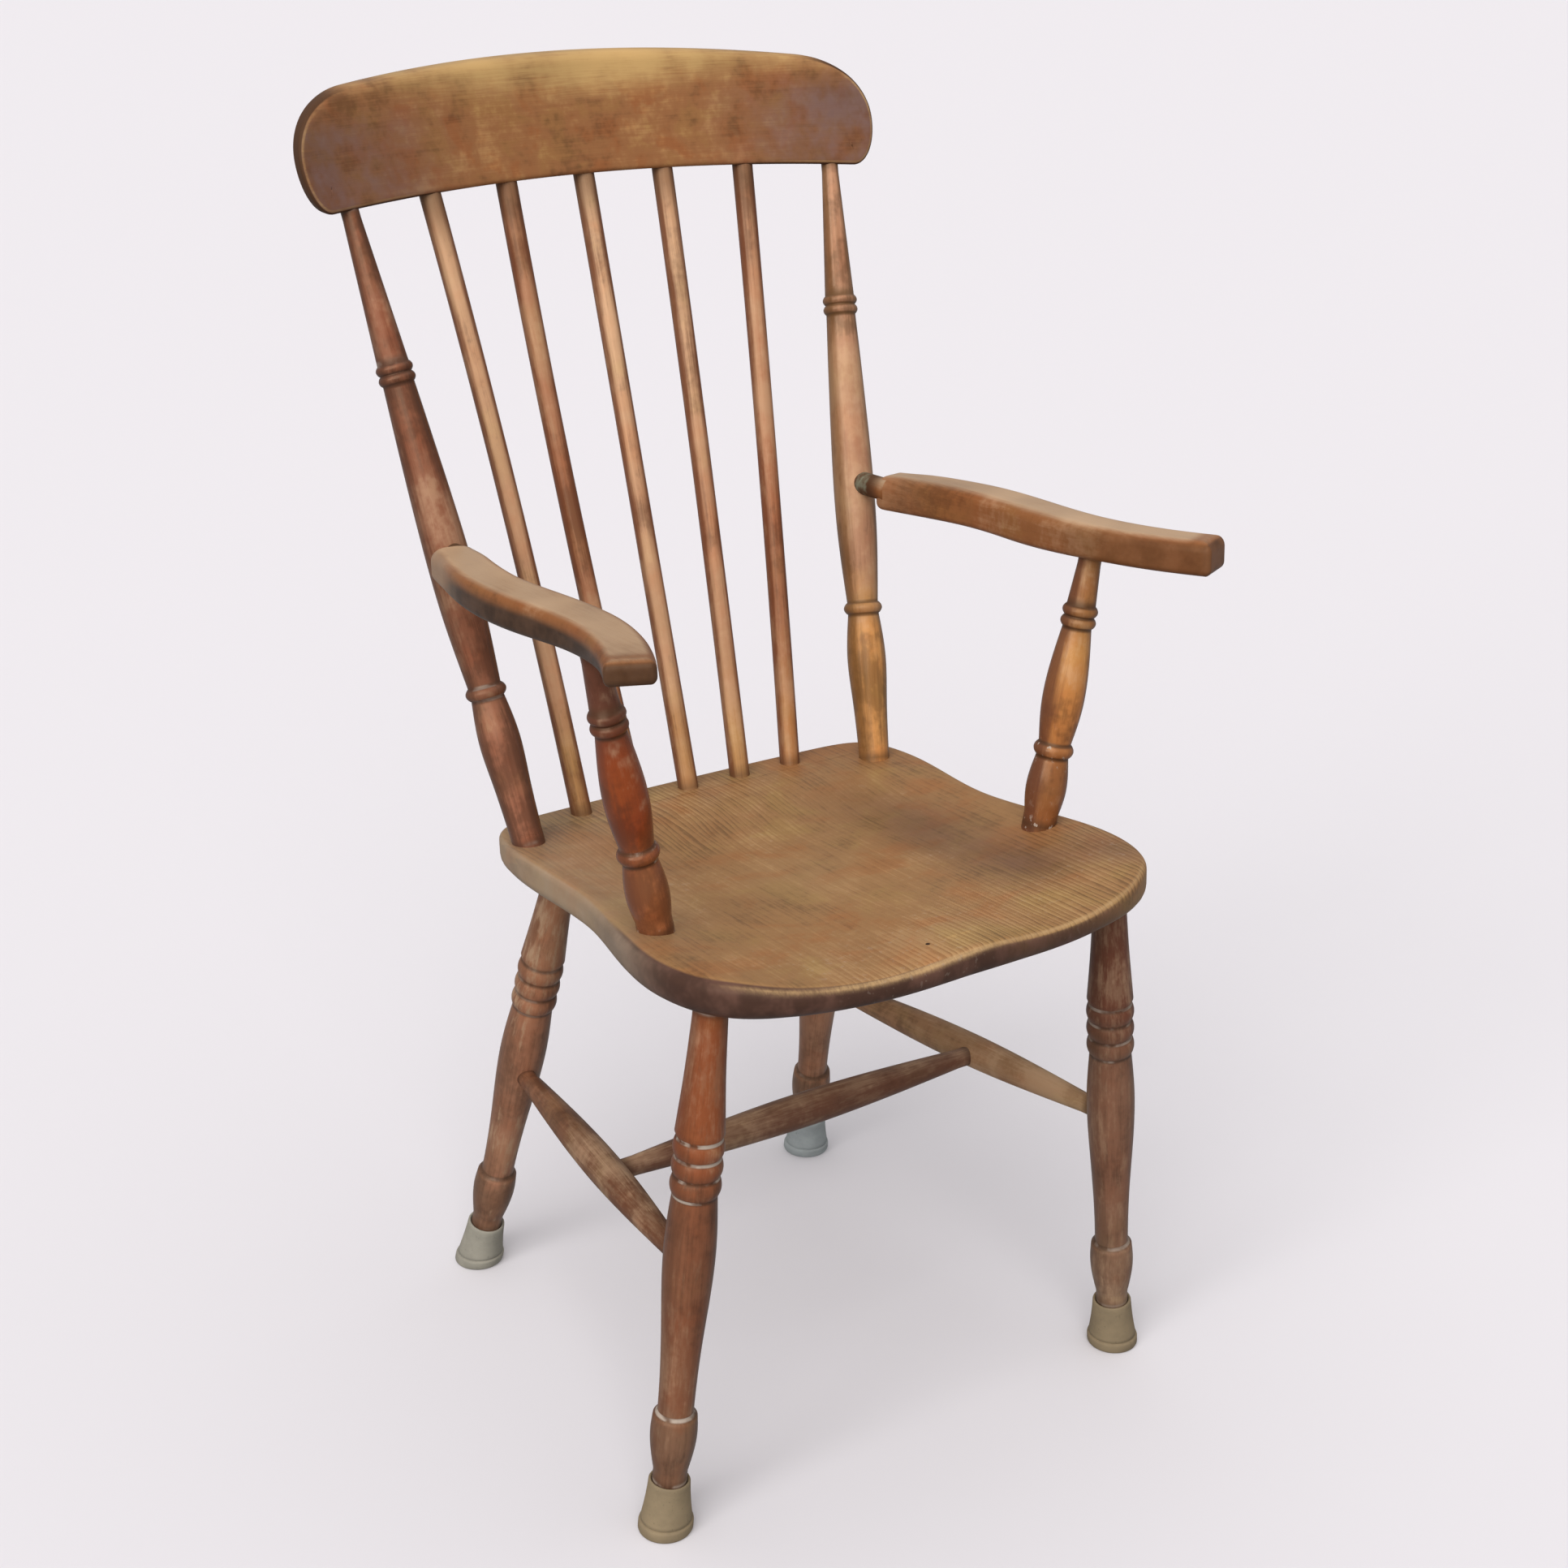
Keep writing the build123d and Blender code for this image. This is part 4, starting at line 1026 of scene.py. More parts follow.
class CHAIR_OT_seat(Operator):
    """Carve the saddled seat board"""

    bl_idname = "chair.seat"
    bl_label = "Seat"

    def execute(self, context):
        seat = given("chair_seat")
        colours = given("chair_colours")
        back_half, front_half = seat.back_width / 2, seat.front_width / 2
        halves = []
        for side in (1, -1):
            points = [(seat.back_offset, seat.back)]
            for inset, drop in SEAT_BACK_CORNER:
                points.append((seat.back_offset + side * (back_half - inset), seat.back - drop))
            points.append((side * seat.waist_width / 2, SEAT_WAIST_Y))
            points.append((side * front_half, SEAT_WIDEST_Y))
            for inset, drop in SEAT_FRONT_CORNER:
                points.append((side * (front_half - inset), drop - seat.front))
            points.append((0, -seat.front))
            halves.append(respaced(smooth(points, 60, (side, 0), (-side, 0)), 190))

        def top(plan):
            x, y = plan[:, 0], plan[:, 1]
            across = np.maximum(0, 1 - np.abs(x / SADDLE_HALF) ** 3.5)
            along = smoothstep(-y, *SADDLE_SPAN)
            pommel = POMMEL_RISE * np.exp(-((x / POMMEL_HALF) ** 2)) * smoothstep(-y, *POMMEL_SPAN)
            floor = SADDLE_RIM - (seat.saddle_depth + SADDLE_RIM) * across * along + pommel
            return -np.logaddexp(0, -floor / SADDLE_SOFT) * SADDLE_SOFT

        def bottom(plan):
            return np.full(len(plan), -seat.thickness)

        def left_corner(x, y):
            return smoothstep(-y - 1.1 * x, 0.2, 0.36)

        rounding = seat.top_round + 0.004 * left_corner(*closed_loop(*halves).T)
        plan, level, inset, mark = slab(*halves, top, bottom, rounding, seat.under_round, margin=0.032)
        rings = on_seat(np.dstack([plan, level]))
        x, y = plan[..., 0], plan[..., 1]

        def blob(middle, reach):
            return np.exp(-(((x - middle[0]) / reach[0]) ** 2) - ((y - middle[1]) / reach[1]) ** 2)

        def patches(spots):
            return sum(strength * blob(middle, reach) for strength, middle, reach in spots)

        corner = left_corner(x, y)
        side = smoothstep(1 - mark, 0.5 - 0.35 * corner, 0.7 - 0.35 * corner)
        side *= 0.05 + 0.8 * smoothstep(-y - 0.55 * x, 0.1, 0.25) + 0.3 * corner
        arris = np.exp(-(((inset - 0.003) / 0.0022) ** 2)) * (mark > 0.1) * smoothstep(-y, 0.2, 0.26)
        front_lines = smoothstep(0.5 * x - y, 0.17, 0.27) * (mark > 0)
        lines = np.maximum(blob((-0.05, 0.1), (0.12, 0.08)), front_lines)
        dusty = smoothstep(-x + 0.3 * y, 0.06, 0.2) * (0.5 + 0.5 * (mark < 0.6))
        attributes = {
            "grain": np.stack([x + 0.3, level * 0.6, y], -1),
            "wear": np.maximum(0.75 * arris, patches(SEAT_GOLDS) * (mark > 0.9)),
            "grime": np.maximum(side, patches(SEAT_STAINS) * (mark > 0.6)),
            "figure": 0.2 + 0.8 * lines,
            "dust": dusty * smoothstep(y, -0.2, -0.1),
        }
        mesh = skin("Saddled board", rings, attributes)
        holes = [(on_seat(hole[:3]), hole[3], shade(colours.grime, 0.3)) for hole in SEAT_HOLES]
        material = wood(
            "Saddled board wood", colours.seat, pale=colours.seat_gold, coarse=230.0, lines=0.85,
            line_gap=0.0047, wander=4.0, fibre=0.7, mottle=0.9, tint=0.7, blotch=0.5, worn=0.85, grime=0.9,
            soil=tuple(colours.seat_side), flecks=0.15, dust=0.8, figured=True, roughness=0.46, spots=holes,
        )
        place_piece("Saddled board", mesh, material, "seat", "seat_wood")
        return {"FINISHED"}


class CHAIR_OT_crest_rail(Operator):
    """Shape the bent crest rail"""

    bl_idname = "chair.crest_rail"
    bl_label = "Crest Rail"

    def execute(self, context):
        back = given("chair_back")
        colours = given("chair_colours")
        half = back.crest_length / 2
        low = -back.crest_under
        high = back.crest_height - back.crest_over
        foot = np.array([half - CREST_FOOT, low])
        tip = np.array([half, low + CREST_TIP])
        head = np.array([half - CREST_HEAD, high])
        t = np.linspace(0, 1, 60)[:, None]

        def bezier(a, b, c, d):
            return a * (1 - t) ** 3 + 3 * b * t * (1 - t) ** 2 + 3 * c * t * t * (1 - t) + d * t**3

        def arch(reach, height, rise):
            x = np.linspace(0, reach, 60)
            return np.stack([x, height + rise * (1 - (x / reach) ** 2)], -1)

        under_pull = unit((1, -2 * back.crest_under / foot[0])) * CREST_EASE * CREST_FOOT
        over_pull = unit((-1, 2 * back.crest_over / head[0])) * CREST_EASE * CREST_HEAD
        lower_end = bezier(foot, foot + under_pull, tip - (0, CREST_EASE * CREST_TIP), tip)
        upper_end = bezier(tip, tip + (0, CREST_EASE * (high - tip[1])), head - over_pull, head)
        bottom_half = np.concatenate([arch(foot[0], low, back.crest_under), lower_end[1:]])
        top_half = np.concatenate([arch(head[0], high, back.crest_over), upper_end[::-1][1:]])
        edges = []
        for curve in (top_half, bottom_half):
            right = respaced(curve, 110)
            left = right[::-1] * (-1, 1)
            edges.append(np.concatenate([left, right[1:]]))

        def front(plan):
            return np.full(len(plan), back.crest_thickness / 2)

        def rear(plan):
            return -back.crest_thickness / 2 + crest_thinning(plan[:, 0])

        at_top = smoothstep(closed_loop(*edges)[:, 1], 0.06, 0.085)
        front_round = back.crest_round + 0.0035 * at_top
        rear_round = back.crest_round + 0.0021 * at_top
        plan, level, _, mark = slab(*edges, front, rear, front_round, rear_round, margin=0.014)
        x, rise = plan[..., 0], plan[..., 1]
        aside = np.abs(x)
        centre = crest_middle()
        y = centre[1] - crest_sag(x) + rise * tan(back.lean) - level
        rings = np.stack([x, y, centre[2] + rise], -1)
        worn_top = smoothstep(rise - 0.02 * aside / half, 0.035, 0.085) * (mark > -0.5)
        arris = np.exp(-(((mark - 0.75) / 0.2) ** 2)) * (mark < 1) * smoothstep(aside - rise, 0.12, 0.2)
        attributes = {
            "grain": np.stack([rise - 0.02, level + 0.05, x], -1),
            "wear": np.maximum(worn_top, 0.6 * arris),
            "grime": smoothstep(aside, 0.06, 0.24) * (1 - 0.8 * smoothstep(rise, 0.045, 0.08)),
            "groove": (np.abs(mark) < 0.6) * smoothstep(aside - rise, 0.1, 0.17),
        }
        mesh = skin("Crest rail", rings, attributes)
        material = wood(
            "Crest wood", colours.crest, pale=colours.crest_gold, lines=0.05, line_gap=0.009, fibre=0.5,
            clouds=0.8, tint=0.65, warm=2.6, worn=0.8, grime=0.6, soil=tuple(colours.crest_end), blotch=1.25,
            groove_dark=0.95, roughness=0.38,
        )
        place_piece("Crest rail", mesh, material, "crest_rail", "crest_wood")
        return {"FINISHED"}


def post_axis(side):
    """Foot and head of a back post's axis."""
    return on_seat((side * POST_FOOT[0], POST_FOOT[1], 0)), crest_seat(side * POST_HEAD_X)


class CHAIR_OT_back_posts(Operator):
    """Turn the two back posts"""

    bl_idname = "chair.back_posts"
    bl_label = "Back Posts"

    def execute(self, context):
        colours = given("chair_colours")
        swell = given("chair_back").post_swell / MM
        slots = {"left": "dark_wood", "right": "post_wood"}
        heads = {"left": 1.05, "right": 1.25}
        dirt = {"left": 0.4, "right": 0.0}
        for name, side in SIDES.items():
            foot, head = post_axis(side)
            reach = np.linalg.norm(head - foot) / MM
            ring, drop = POST_RINGS[name]
            top = reach - drop
            vase = [(14.7, 49), (16.4, 85)]
            belly = [(swell, ring + 65), (swell, ring + 137)]
            turning = ringed_turning(
                reach, (12.9, 13), vase, ring, POST_RING, belly, top, POST_FINE_RING, 7, POST_TENON
            )
            turning.mark(0, 4.0, 0.7).mark(reach, 6.0, 0.8)
            turning.mark(ring + POST_RING[0] / 2, 17.0, 0.42).mark(top - POST_FINE_RING[0], 15.0, 0.36)
            tone = tuple(getattr(colours, f"post_{name}"))
            # sides darkens each post's sides away from its pale side: kept finish and painted edge shade
            material = wood(
                f"Post wood {name}", getattr(colours, f"post_{name}_foot"),
                bands=[(0.2, 0.34, tone), (0.6, 0.78, shade(tone, heads[name]))], worn=0.2, dirt=dirt[name],
                fibre=0.4, mottle=1.3, blotch=1.0, groove_dark=0.85, scuffs=0.2, sides=0.75, roughness=0.28,
                gloss=0.4,
            )
            place_stick(
                f"Back post {name}", turning, foot, head, material, 1.0 + side * 0.4, f"back_post_{name}",
                slots[name],
            )
        return {"FINISHED"}


class CHAIR_OT_spindles(Operator):
    """Turn the back spindles"""

    bl_idname = "chair.spindles"
    bl_label = "Spindles"

    def execute(self, context):
        back = given("chair_back")
        colours = given("chair_colours")
        wide, waist = back.spindle_radius / MM, back.spindle_waist / MM
        for i in range(back.spindles):
            reds = SPINDLE_REDS[i % len(SPINDLE_REDS)]
            low, top = (blend(colours.spindle, colours.spindle_red, red) for red in reds)
            # sides and kept darken each spindle's sides away from its pale side: kept finish and painted edge
            # shade
            material = wood(
                f"Spindle wood {i + 1}", blend(low, colours.spindle_foot, 0.7),
                bands=[(0.08, 0.2, low), (0.45, 0.8, top)], fibre=0.7, mottle=1.2, scuffs=0.3, sides=0.88,
                edge_finish_and_shade_span=(0.56, 0.98), kept=tuple(colours.spindle_side), roughness=0.28, gloss=0.4,
            )
            step = i - (back.spindles - 1) / 2
            foot = on_seat((step * back.seat_pitch, SPINDLE_ROW, 0))
            head = crest_seat(step * back.crest_pitch)
            reach = np.linalg.norm(head - foot) / MM
            turning = Turning()
            turning.run((wide, -SEAT_TENON), (wide, SHOULDER))
            turning.run((wide, SHOULDER), (waist, reach / 2), (wide, reach - SHOULDER))
            turning.run((wide, reach - SHOULDER), (wide, reach + SPINDLE_TENON))
            # Dark band at the seat joint, and a wide one at the top: dirt at the joint and painted shadow of
            # the crest rail
            turning.mark(0, 9.0, 0.8).mark(reach, 40.0, 0.85)
            place_stick(
                f"Spindle {i + 1}", turning, foot, head, material, 2.0 + i * 0.7, f"spindle_{i + 1}",
                "spindle_wood", bow=(SPINDLE_BOWS[i % len(SPINDLE_BOWS)], 0, 0), sides=40,
            )
        return {"FINISHED"}


def arm_thickness(side):
    """Thickness of the arm on that side."""
    arms = given("chair_arms")
    return arms.left_thickness if side < 0 else arms.right_thickness


class CHAIR_OT_arms(Operator):
    """Saw and round the two arms"""

    bl_idname = "chair.arms"
    bl_label = "Arms"

    def execute(self, context):
        arms = given("chair_arms")
        colours = given("chair_colours")
        half = arms.width / 2
        soils = {"left": tuple(colours.arm_side), "right": blend(colours.arm, colours.arm_side, 0.6)}
        end_soils = {"left": 0.75, "right": 1.3}
        top_rounds = {"left": arms.edge * 1.1, "right": arms.edge * 1.5}
        lines = {"left": 0.05, "right": 0.12}
        for name, side in SIDES.items():
            left = side < 0
            thickness = arm_thickness(side)
            middle = arms.height - thickness / 2
            low, high = (from_seat(end) for end in post_axis(side))
            post = low + (high - low) * (middle - low[2]) / (high[2] - low[2])
            neck = post[:2] - (0, given("chair_back").post_swell + ARM_GAP)
            rear = neck + (side * ARM_STEP, ARM_REAR_REACH[name])
            prop = np.array([side * SUPPORT_HEAD[0], SUPPORT_HEAD[1]])
            bow = prop + unit(rear - prop) * ARM_BOW_AT + (side * arms.bow, 0)
            front = prop + (side * arms.flare, -arms.overhang)
            ways = [np.array([side * sin(radians(turn)), -cos(radians(turn))]) for turn in ARM_TURNS]
            centre = respaced(smooth([rear, bow, prop, front], 60, *ways), 400)
            travel = travelled(centre)
            heading = unit(np.gradient(centre, axis=0))
            end, corner, nose = travel[-1], ARM_CORNERS[name], ARM_NOSE
            bend = np.linspace(0, pi / 2, 12)
            edge = np.concatenate([
                [[0, v] for v in np.linspace(0, half - corner, 5)[:-1]],
                np.stack([corner - corner * np.cos(bend), half - corner + corner * np.sin(bend)], -1),
                [[v, half] for v in np.linspace(corner, end - nose, 150)[1:-1]],
                np.stack([end - nose + nose * np.sin(bend), half - nose + nose * np.cos(bend)], -1),
                [[end, v] for v in np.linspace(half - nose, 0, 12)[1:]],
            ])
            edges = closed_loop(edge, edge * (1, -1))
            bends = np.where(edges[:, 0] < end / 2, corner, nose)

            def bent(spots):
                along, aside = spots.T
                fuller = arms.fullness * np.sin(pi * np.clip(along / end, 0, 1)) ** 1.5
                width = aside * np.where(aside * side < 0, 1 + fuller / half, 1)
                at = np.stack([np.interp(along, travel, axis) for axis in centre.T], -1)
                ahead = np.stack([np.interp(along, travel, axis) for axis in heading.T], -1)
                return at + np.stack([-ahead[:, 1], ahead[:, 0]], -1) * width[:, None]

            def inward(inset):
                limit = half - bends
                along = np.clip(edges[:, 0], corner, end - nose)
                core = np.stack([along, np.clip(edges[:, 1], -limit, limit)], -1)
                spots = core + (edges - core) * np.maximum(0, 1 - inset / bends)[:, None]
                along = np.clip(spots[:, 0], inset, end - inset)
                return bent(np.stack([along, np.clip(spots[:, 1], inset - half, half - inset)], -1))

            def progress(plan):
                return (rear[1] - plan[..., 1]) / (rear[1] - front[1])

            def top(plan):
                return arms.height - 0.002 * (1 - smoothstep(progress(plan), -0.01, 0.12))

            def bottom(plan):
                share = progress(plan)
                belly = arms.belly * (1 - smoothstep(share, 0.45, 0.8))
                return arms.height - thickness - belly + left * arms.left_nose * smoothstep(share, 0.7, 1.0)

            halves = [bent(edge), bent(edge * (1, -1))]
            at_rear = 1 - smoothstep(progress(closed_loop(*halves)), 0.06, 0.16)
            rounding = top_rounds[name] + 0.003 * at_rear
            plan, level, _, mark = slab(
                *halves, top, bottom, rounding, arms.edge, margin=0.0135, inward=inward, deepest=half
            )
            rings = on_seat(np.dstack([plan, level]))
            ahead = (plan - front) @ ways[1]
            browned = np.exp(-(((ahead + 0.011) / 0.007) ** 2))
            share = progress(plan)
            soil = 0.6 * smoothstep(share, 0.45, 0.9)
            if left:
                soil = 1.3 * smoothstep(share, 0.06, 0.3) * smoothstep(arms.height - level, 0.003, 0.016)
            soil = soil + (end_soils[name] - soil) * smoothstep(ahead, -0.006, -0.001)
            bared = np.maximum(np.clip(mark * 1.6 - 0.6, 0, 1), 0.4 * (1 - smoothstep(share, 0.08, 0.35)))
            attributes = {
                "grain": np.stack([plan[..., 0] + 0.02, level - arms.height + 0.03, plan[..., 1]], -1),
                "wear": bared * (1 - 0.55 * browned),
                "grime": soil * (1 - smoothstep(mark, 0.4, 0.7)),
                "dust": left * (1 - smoothstep(share, 0.05, 0.3)),
            }
            blank = skin("Arm blank", rings, attributes)
            start = on_seat((*neck, middle))
            finish = on_seat(post)
            glued = () if left else (0.28, 0.5)
            glue = [(start + (finish - start) * v, 0.011, colours.glue) for v in glued]
            material = wood(
                f"Arm wood {name}", colours.arm, lines=lines[name], fibre=0.35, mottle=1.1, worn=0.85,
                grime=1.0, soil=soils[name], blotch=0.5, dust=0.6, groove_dark=0.92, roughness=0.38,
                gloss=0.15, spots=glue,
            )
            girth = ARM_TENONS[name]
            turning = Turning().run((girth, -16), (girth, 33)).mark(12, 26.0, 1.1)
            tenon = turned_stick("Arm tenon", turning, start, finish, material, 5.0 + side)
            mesh = joined(f"Arm {name}", [blank, tenon])
            place_piece(f"Arm {name}", mesh, material, f"arm_{name}", "arm_wood")
        return {"FINISHED"}


class CHAIR_OT_arm_supports(Operator):
    """Turn the two arm supports"""

    bl_idname = "chair.arm_supports"
    bl_label = "Arm Supports"

    def execute(self, context):
        colours = given("chair_colours")
        arms = given("chair_arms")
        swell = arms.support_swell / MM
        heads = {"left": colours.dark_head, "right": blend(colours.support_right, colours.dark_head, 0.5)}
        dirt = {"left": 0.9, "right": 0.0}
        # How far kept finish and painted edge shade darken the sides of each support
        sides = {"left": 0.5, "right": 0.8}
        for name, side in SIDES.items():
            thickness = arm_thickness(side)
            foot = on_seat((side * SUPPORT_FOOT[0], SUPPORT_FOOT[1], 0))
            head = on_seat((side * SUPPORT_HEAD[0], SUPPORT_HEAD[1], arms.height - thickness))
            reach = np.linalg.norm(head - foot) / MM
            top = reach + thickness / MM - SUPPORT_RING_DROP
            ring = SUPPORT_RINGS[name]
            belly = [(swell, ring + SUPPORT_RING[0] + 26)]
            turning = ringed_turning(
                reach, (13.5, 13.6), [(16, 27)], ring, SUPPORT_RING, belly, top, SUPPORT_FINE_RING, 9,
                SUPPORT_TENON,
            )
            turning.mark(0, 4.0, 0.8).mark(reach, 4.0, 0.9)
            turning.mark(ring + SUPPORT_RING[0] / 2, 12.0, 0.3).mark(top - SUPPORT_FINE_RING[0], 15.0, 0.4)
            # kept is the dark tone of the supports' kept finish and painted edge shade
            material = wood(
                f"Support wood {name}", getattr(colours, f"support_{name}_foot"),
                bands=[(0.2, 0.4, getattr(colours, f"support_{name}")), (0.62, 0.8, heads[name])],
                lines=0.06, mottle=1.3, blotch=1.0, groove_dark=0.85, dirt=dirt[name], dirt_top=0.5,
                flecks=0.8, sides=sides[name], kept=shade(colours.dark_head, 0.8), roughness=0.25, gloss=0.45,
            )
            place_stick(
                f"Arm support {name}", turning, foot, head, material, 8.0 + side * 0.6,
                f"arm_support_{name}", "support_wood",
            )
        return {"FINISHED"}


class CHAIR_OT_legs(Operator):
    """Turn the four legs"""

    bl_idname = "chair.legs"
    bl_label = "Legs"

    def execute(self, context):
        legs = given("chair_legs")
        seat = given("chair_seat")
        colours = given("chair_colours")
        # Slot, tone of the head, dirt in the grooves and scuffs of each leg
        finishes = {
            "front_leg_left": ("leg_wood", colours.front_leg_cone, 1.0, 0.2),
            "front_leg_right": ("dark_wood", colours.dark_head, 0.5, 0.35),
            "rear_leg_left": ("worn_wood", colours.scraped, 0.2, 0.9),
            "rear_leg_right": ("dark_wood", colours.rear_leg_right, 0.3, 0.3),
        }
        ring, groove, swell, neck = (v / MM for v in (legs.ring, legs.groove, legs.swell, legs.neck))
        ferrule = legs.ferrule / MM
        seat_up = np.array([0, sin(seat.tilt), cos(seat.tilt)])
        for number, (node, (slot, head_tone, dirt, scuffs)) in enumerate(finishes.items()):
            end, _, name = node.split("_")
            foot, head = leg_ends(end, SIDES[name])
            reach = np.linalg.norm(head - foot)
            rise = (head - foot).dot(seat_up) / reach
            under = (reach - seat.thickness / rise) / MM
            top = under - LEG_RING_DROPS[end]
            low = top - 3 * LEG_RING_WIDTH
            belly = low - 40
            between = ((neck + swell) / 2, (110 + belly) / 2)
            turning = Turning()
            turning.run((13.1, 11), (13.1, ferrule + SHOULDER))
            turning.run((13.1, ferrule + SHOULDER), (17.7, 88), (16.7, 101))
            turning.run((16.7, 101), (neck + 0.4, 103.4))
            turning.run((neck, 104), (neck, 110), between, (swell, belly), (groove, low))
            for i in range(3):
                turning.bead(low + LEG_RING_WIDTH * i, low + LEG_RING_WIDTH * (i + 1), groove, ring)
            turning.run((groove, top), (18.3, top + 4))
            turning.run((18.3, top + 4), (14.95, (top + under - 5) / 2), (12.8, under - SHOULDER))
            turning.run((12.8, under - SHOULDER), (12.8, under + SEAT_TENON))
            turning.mark(103.6, 1.8).mark(under, 5.0, 0.8).mark(ferrule, 3.0, 0.7)
            tone = getattr(colours, node)
            # sides darkens each leg's sides away from its pale side: kept finish and painted edge shade
            material = wood(
                node.replace("_", " ").capitalize() + " wood", blend(tone, colours.ankle, 0.7),
                bands=[(0.2, 0.25, tone), (0.56, 0.74, head_tone)], dirt=dirt, scuffs=scuffs, sides=0.4,
                fibre=0.6, roughness=0.36, gloss=0.3,
            )
            place_stick(
                f"{end.capitalize()} leg {name}", turning, foot, head, material, 11.0 + number * 0.83, node,
                slot, sides=64,
            )
        return {"FINISHED"}


def stretcher_turning(length, thickest, room, swell):
    """Outline of a stretcher that swells from two round ends."""
    turning = Turning()
    turning.run((8, 3), (8, room))
    turning.run((8, room), (swell, thickest), (8, length - room))
    turning.run((8, length - room), (8, length - 3))
    return turning.mark(room - SHOULDER, 5.0, 0.8).mark(length - room + SHOULDER, 5.0, 0.8)


class CHAIR_OT_stretchers(Operator):
    """Turn the side and cross stretchers"""

    bl_idname = "chair.stretchers"
    bl_label = "Stretchers"

    def execute(self, context):
        legs = given("chair_legs")
        colours = given("chair_colours")
        room = legs.swell / MM + SHOULDER
        joints = []
        for name, side in SIDES.items():
            foot = leg_point("front", side, legs.front_stretcher)
            head = leg_point("rear", side, legs.rear_stretcher)
            reach = np.linalg.norm(head - foot)
            joints.append(foot + (head - foot) * legs.cross_setback / reach)
            turning = stretcher_turning(reach / MM, legs.cross_setback / MM, room, legs.side_swell / MM)
            tone = getattr(colours, f"stretcher_{name}")
            material = wood(
                f"Stretcher wood {name}", tone, bands=[(0.45, 0.85, blend(tone, colours.scraped, 0.4))],
                fibre=0.6, mottle=1.3, worn=0.2, scuffs=0.35, roughness=0.48,
            )
            place_stick(
                f"Side stretcher {name}", turning, foot, head, material, 17.0 + side * 0.7,
                f"side_stretcher_{name}", "worn_wood",
            )
        reach = np.linalg.norm(joints[0] - joints[1]) / MM
        room = legs.side_swell / MM + SHOULDER
        turning = stretcher_turning(reach, reach / 2, room, legs.cross_swell / MM)
        material = wood(
            "Cross stretcher wood", colours.cross, fibre=0.5, worn=0.35, scuffs=0.3, roughness=0.42
        )
        place_stick(
            "Cross stretcher", turning, joints[1], joints[0], material, 21.0, "cross_stretcher", "dark_wood"
        )
        return {"FINISHED"}


class CHAIR_OT_ferrules(Operator):
    """Mould the four rubber ferrules and finish their steel discs"""

    bl_idname = "chair.ferrules"
    bl_label = "Ferrules"

    def execute(self, context):
        legs = given("chair_legs")
        colours = given("chair_colours")
        tones = {
            "front_left": colours.rubber, "front_right": shade(colours.rubber, 0.9),
            "rear_left": colours.rubber_grey, "rear_right": colours.rubber_blue,
        }
        steel = plain("Steel", STEEL, 0.45, 1.0)
        turn = np.linspace(0, 2 * pi, 64, endpoint=False)
        circle = np.stack([np.cos(turn), np.sin(turn), np.zeros_like(turn)], -1)
        tread, full = legs.tread, legs.ferrule
        neck_height, neck_inset = FERRULE_NECK
        for corner, tone in tones.items():
            end, name = corner.split("_")
            side = SIDES[name]
            foot, head = leg_ends(end, side)
            along = unit(head - foot)
            across = square_to(along, (1.0, 0.0, 0.0))
            tilted = circle[:, :1] * across + circle[:, 1:2] * np.cross(along, across)
            rings = []

            def ring(height, radius, share):
                centre = leg_point(end, side, height) * (1 - share) + (foot + along * height) * share
                rings.append(centre + radius * (circle * (1 - share) + tilted * share))

            for height, inset in FERRULE_RIM:
                ring(height, tread - inset, 0)
            for share in np.linspace(0, 1, 14):
                hollow = FERRULE_HOLLOW * sin(pi * share)
                height = neck_height + (full - FERRULE_LIP_DROP - neck_height) * share
                ring(height, tread - neck_inset + (FERRULE_LIP - tread + neck_inset) * share - hollow, share)
            for drop, radius in FERRULE_MOUTH:
                ring(full - drop, radius, 1)
            ring(FERRULE_FLOOR, FERRULE_BORE, 1)
            mesh = skin("Ferrule", rings, {})
            material = rubber(f"Rubber {end} {name}", tone)
            place_piece(
                f"{end.capitalize()} ferrule {name}", mesh, material, f"{end}_ferrule_{name}", "rubber"
            )
            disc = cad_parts[f"{end}_washer_{name}"]
            disc.data.materials.clear()
            disc.data.materials.append(steel)
        return {"FINISHED"}


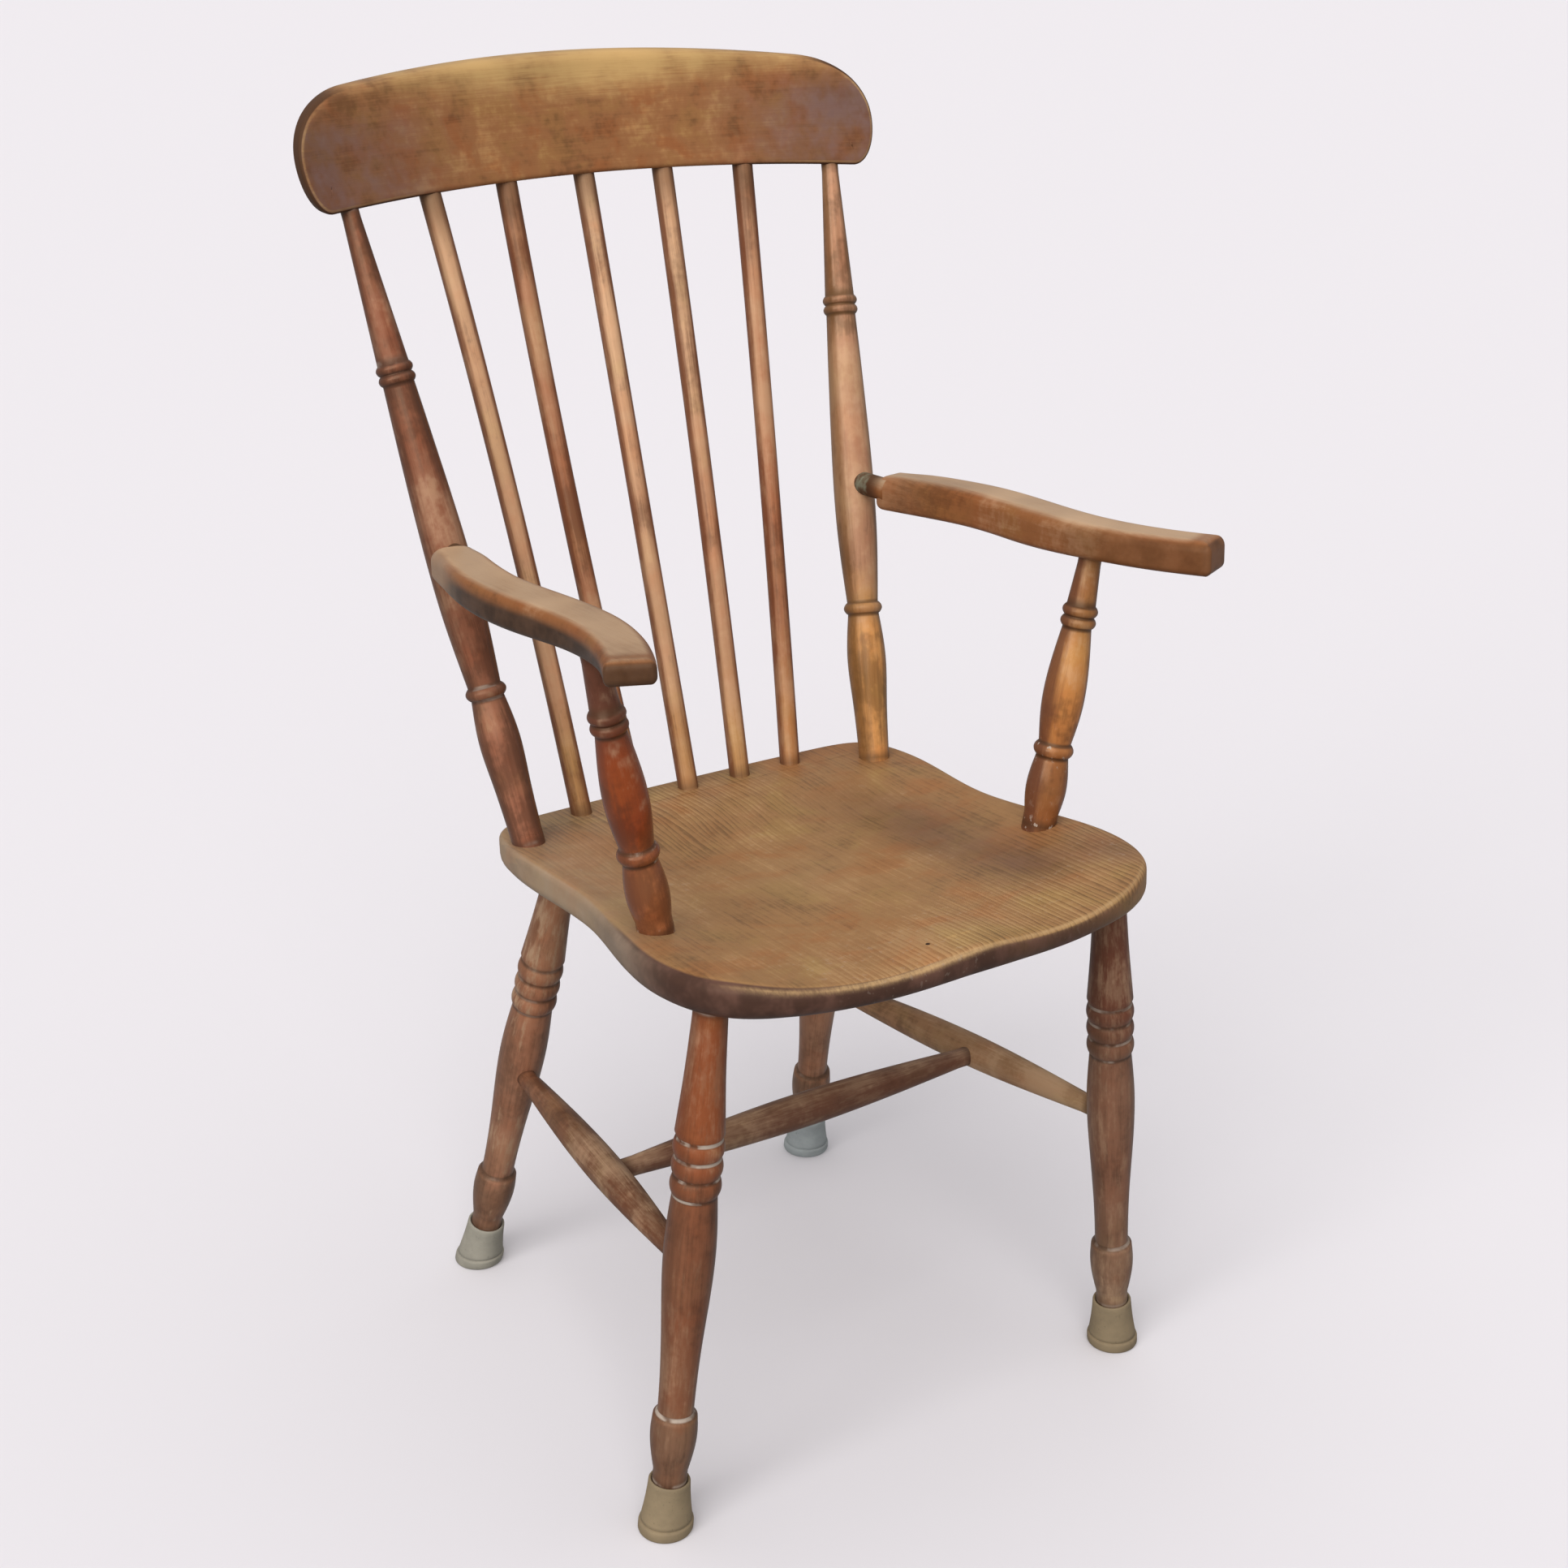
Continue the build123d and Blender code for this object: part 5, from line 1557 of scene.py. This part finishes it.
class CHAIR_OT_stage(Operator):
    """Lay the floor and set the lights and the camera"""

    bl_idname = "chair.stage"
    bl_label = "Stage"

    def execute(self, context):
        scene = context.scene
        mesh = bpy.data.meshes.new("Floor")
        corners = [(x * FLOOR_REACH, y * FLOOR_REACH, 0) for x, y in ((-1, -1), (1, -1), (1, 1), (-1, 1))]
        mesh.from_pydata(corners, [], [(0, 1, 2, 3)])
        mesh.materials.append(plain("Floor", given("chair_colours").floor, 0.9, gloss=0.0))
        floor = bpy.data.objects.new("Floor", mesh)
        scene.collection.objects.link(floor)
        # The floor sends no light back, so that the sticks keep their dark edges
        floor.visible_diffuse = False
        floor.visible_glossy = False
        world = bpy.data.worlds.new("Studio")
        world.use_nodes = True
        sky = world.node_tree.nodes["Background"]
        sky.inputs["Color"].default_value = (*SKY_COLOUR, 1.0)
        sky.inputs["Strength"].default_value = SKY_STRENGTH
        scene.world = world
        for name, (way, strength, spread, tint) in LAMPS.items():
            light = bpy.data.lights.new(name, "SUN")
            light.energy = strength
            light.angle = radians(spread)
            light.color = tint
            lamp = bpy.data.objects.new(name, light)
            scene.collection.objects.link(lamp)
            away = unit(way)
            across = unit(np.cross((0.0, 1.0, 0.0), away))
            lamp.matrix_world = turned(across, np.cross(away, across), away)
        yaw, pitch, roll = radians(CAMERA_YAW), radians(CAMERA_PITCH), radians(CAMERA_ROLL)
        ahead = np.array([sin(yaw) * cos(pitch), cos(yaw) * cos(pitch), -sin(pitch)])
        right = np.array([cos(yaw), -sin(yaw), 0])
        up = np.cross(right, ahead)
        across = cos(roll) * right + sin(roll) * up
        upward = cos(roll) * up - sin(roll) * right
        lens = bpy.data.cameras.new("Camera")
        lens.sensor_width = CAMERA_SENSOR
        lens.lens = CAMERA_LENS
        lens.shift_x = CAMERA_SHIFT
        lens.clip_end = 100.0
        camera = bpy.data.objects.new("Camera", lens)
        scene.collection.objects.link(camera)
        camera.matrix_world = Matrix.Translation(CAMERA_PLACE) @ turned(across, upward, -ahead)
        scene.camera = camera
        scene.view_settings.view_transform = "Standard"
        return {"FINISHED"}


class CHAIR_PT_pieces(Panel):
    """The chair's sizes, colours and pieces"""

    bl_idname = "CHAIR_PT_pieces"
    bl_label = "Windsor Armchair"
    bl_space_type = "VIEW_3D"
    bl_region_type = "UI"
    bl_category = "Chair"

    def draw(self, context):
        for name in GROUPS:
            box = self.layout.box()
            group = getattr(context.scene, name)
            for key in group.bl_rna.properties.keys():
                if key not in ("rna_type", "name"):
                    box.prop(group, key)
        for operator in OPERATORS:
            self.layout.operator(operator.bl_idname)


GROUPS = {
    "chair_seat": SeatSizes,
    "chair_back": BackSizes,
    "chair_arms": ArmSizes,
    "chair_legs": LegSizes,
    "chair_colours": ChairColours,
}
OPERATORS = (
    CHAIR_OT_seat,
    CHAIR_OT_crest_rail,
    CHAIR_OT_back_posts,
    CHAIR_OT_spindles,
    CHAIR_OT_arms,
    CHAIR_OT_arm_supports,
    CHAIR_OT_legs,
    CHAIR_OT_stretchers,
    CHAIR_OT_ferrules,
    CHAIR_OT_stage,
)


def register():
    """Adds the chair's properties, operators and panel."""
    for name, group in GROUPS.items():
        bpy.utils.register_class(group)
        setattr(bpy.types.Scene, name, PointerProperty(type=group))
    for item in (*OPERATORS, CHAIR_PT_pieces):
        bpy.utils.register_class(item)


def unregister():
    """Removes what register added."""
    for item in (CHAIR_PT_pieces, *reversed(OPERATORS)):
        bpy.utils.unregister_class(item)
    for name, group in reversed(GROUPS.items()):
        delattr(bpy.types.Scene, name)
        bpy.utils.unregister_class(group)


def main():
    """Builds every piece and the stage."""
    register()
    bpy.ops.chair.seat()
    bpy.ops.chair.crest_rail()
    bpy.ops.chair.back_posts()
    bpy.ops.chair.spindles()
    bpy.ops.chair.arms()
    bpy.ops.chair.arm_supports()
    bpy.ops.chair.legs()
    bpy.ops.chair.stretchers()
    bpy.ops.chair.ferrules()
    bpy.ops.chair.stage()


if __name__ == "__main__":
    main()
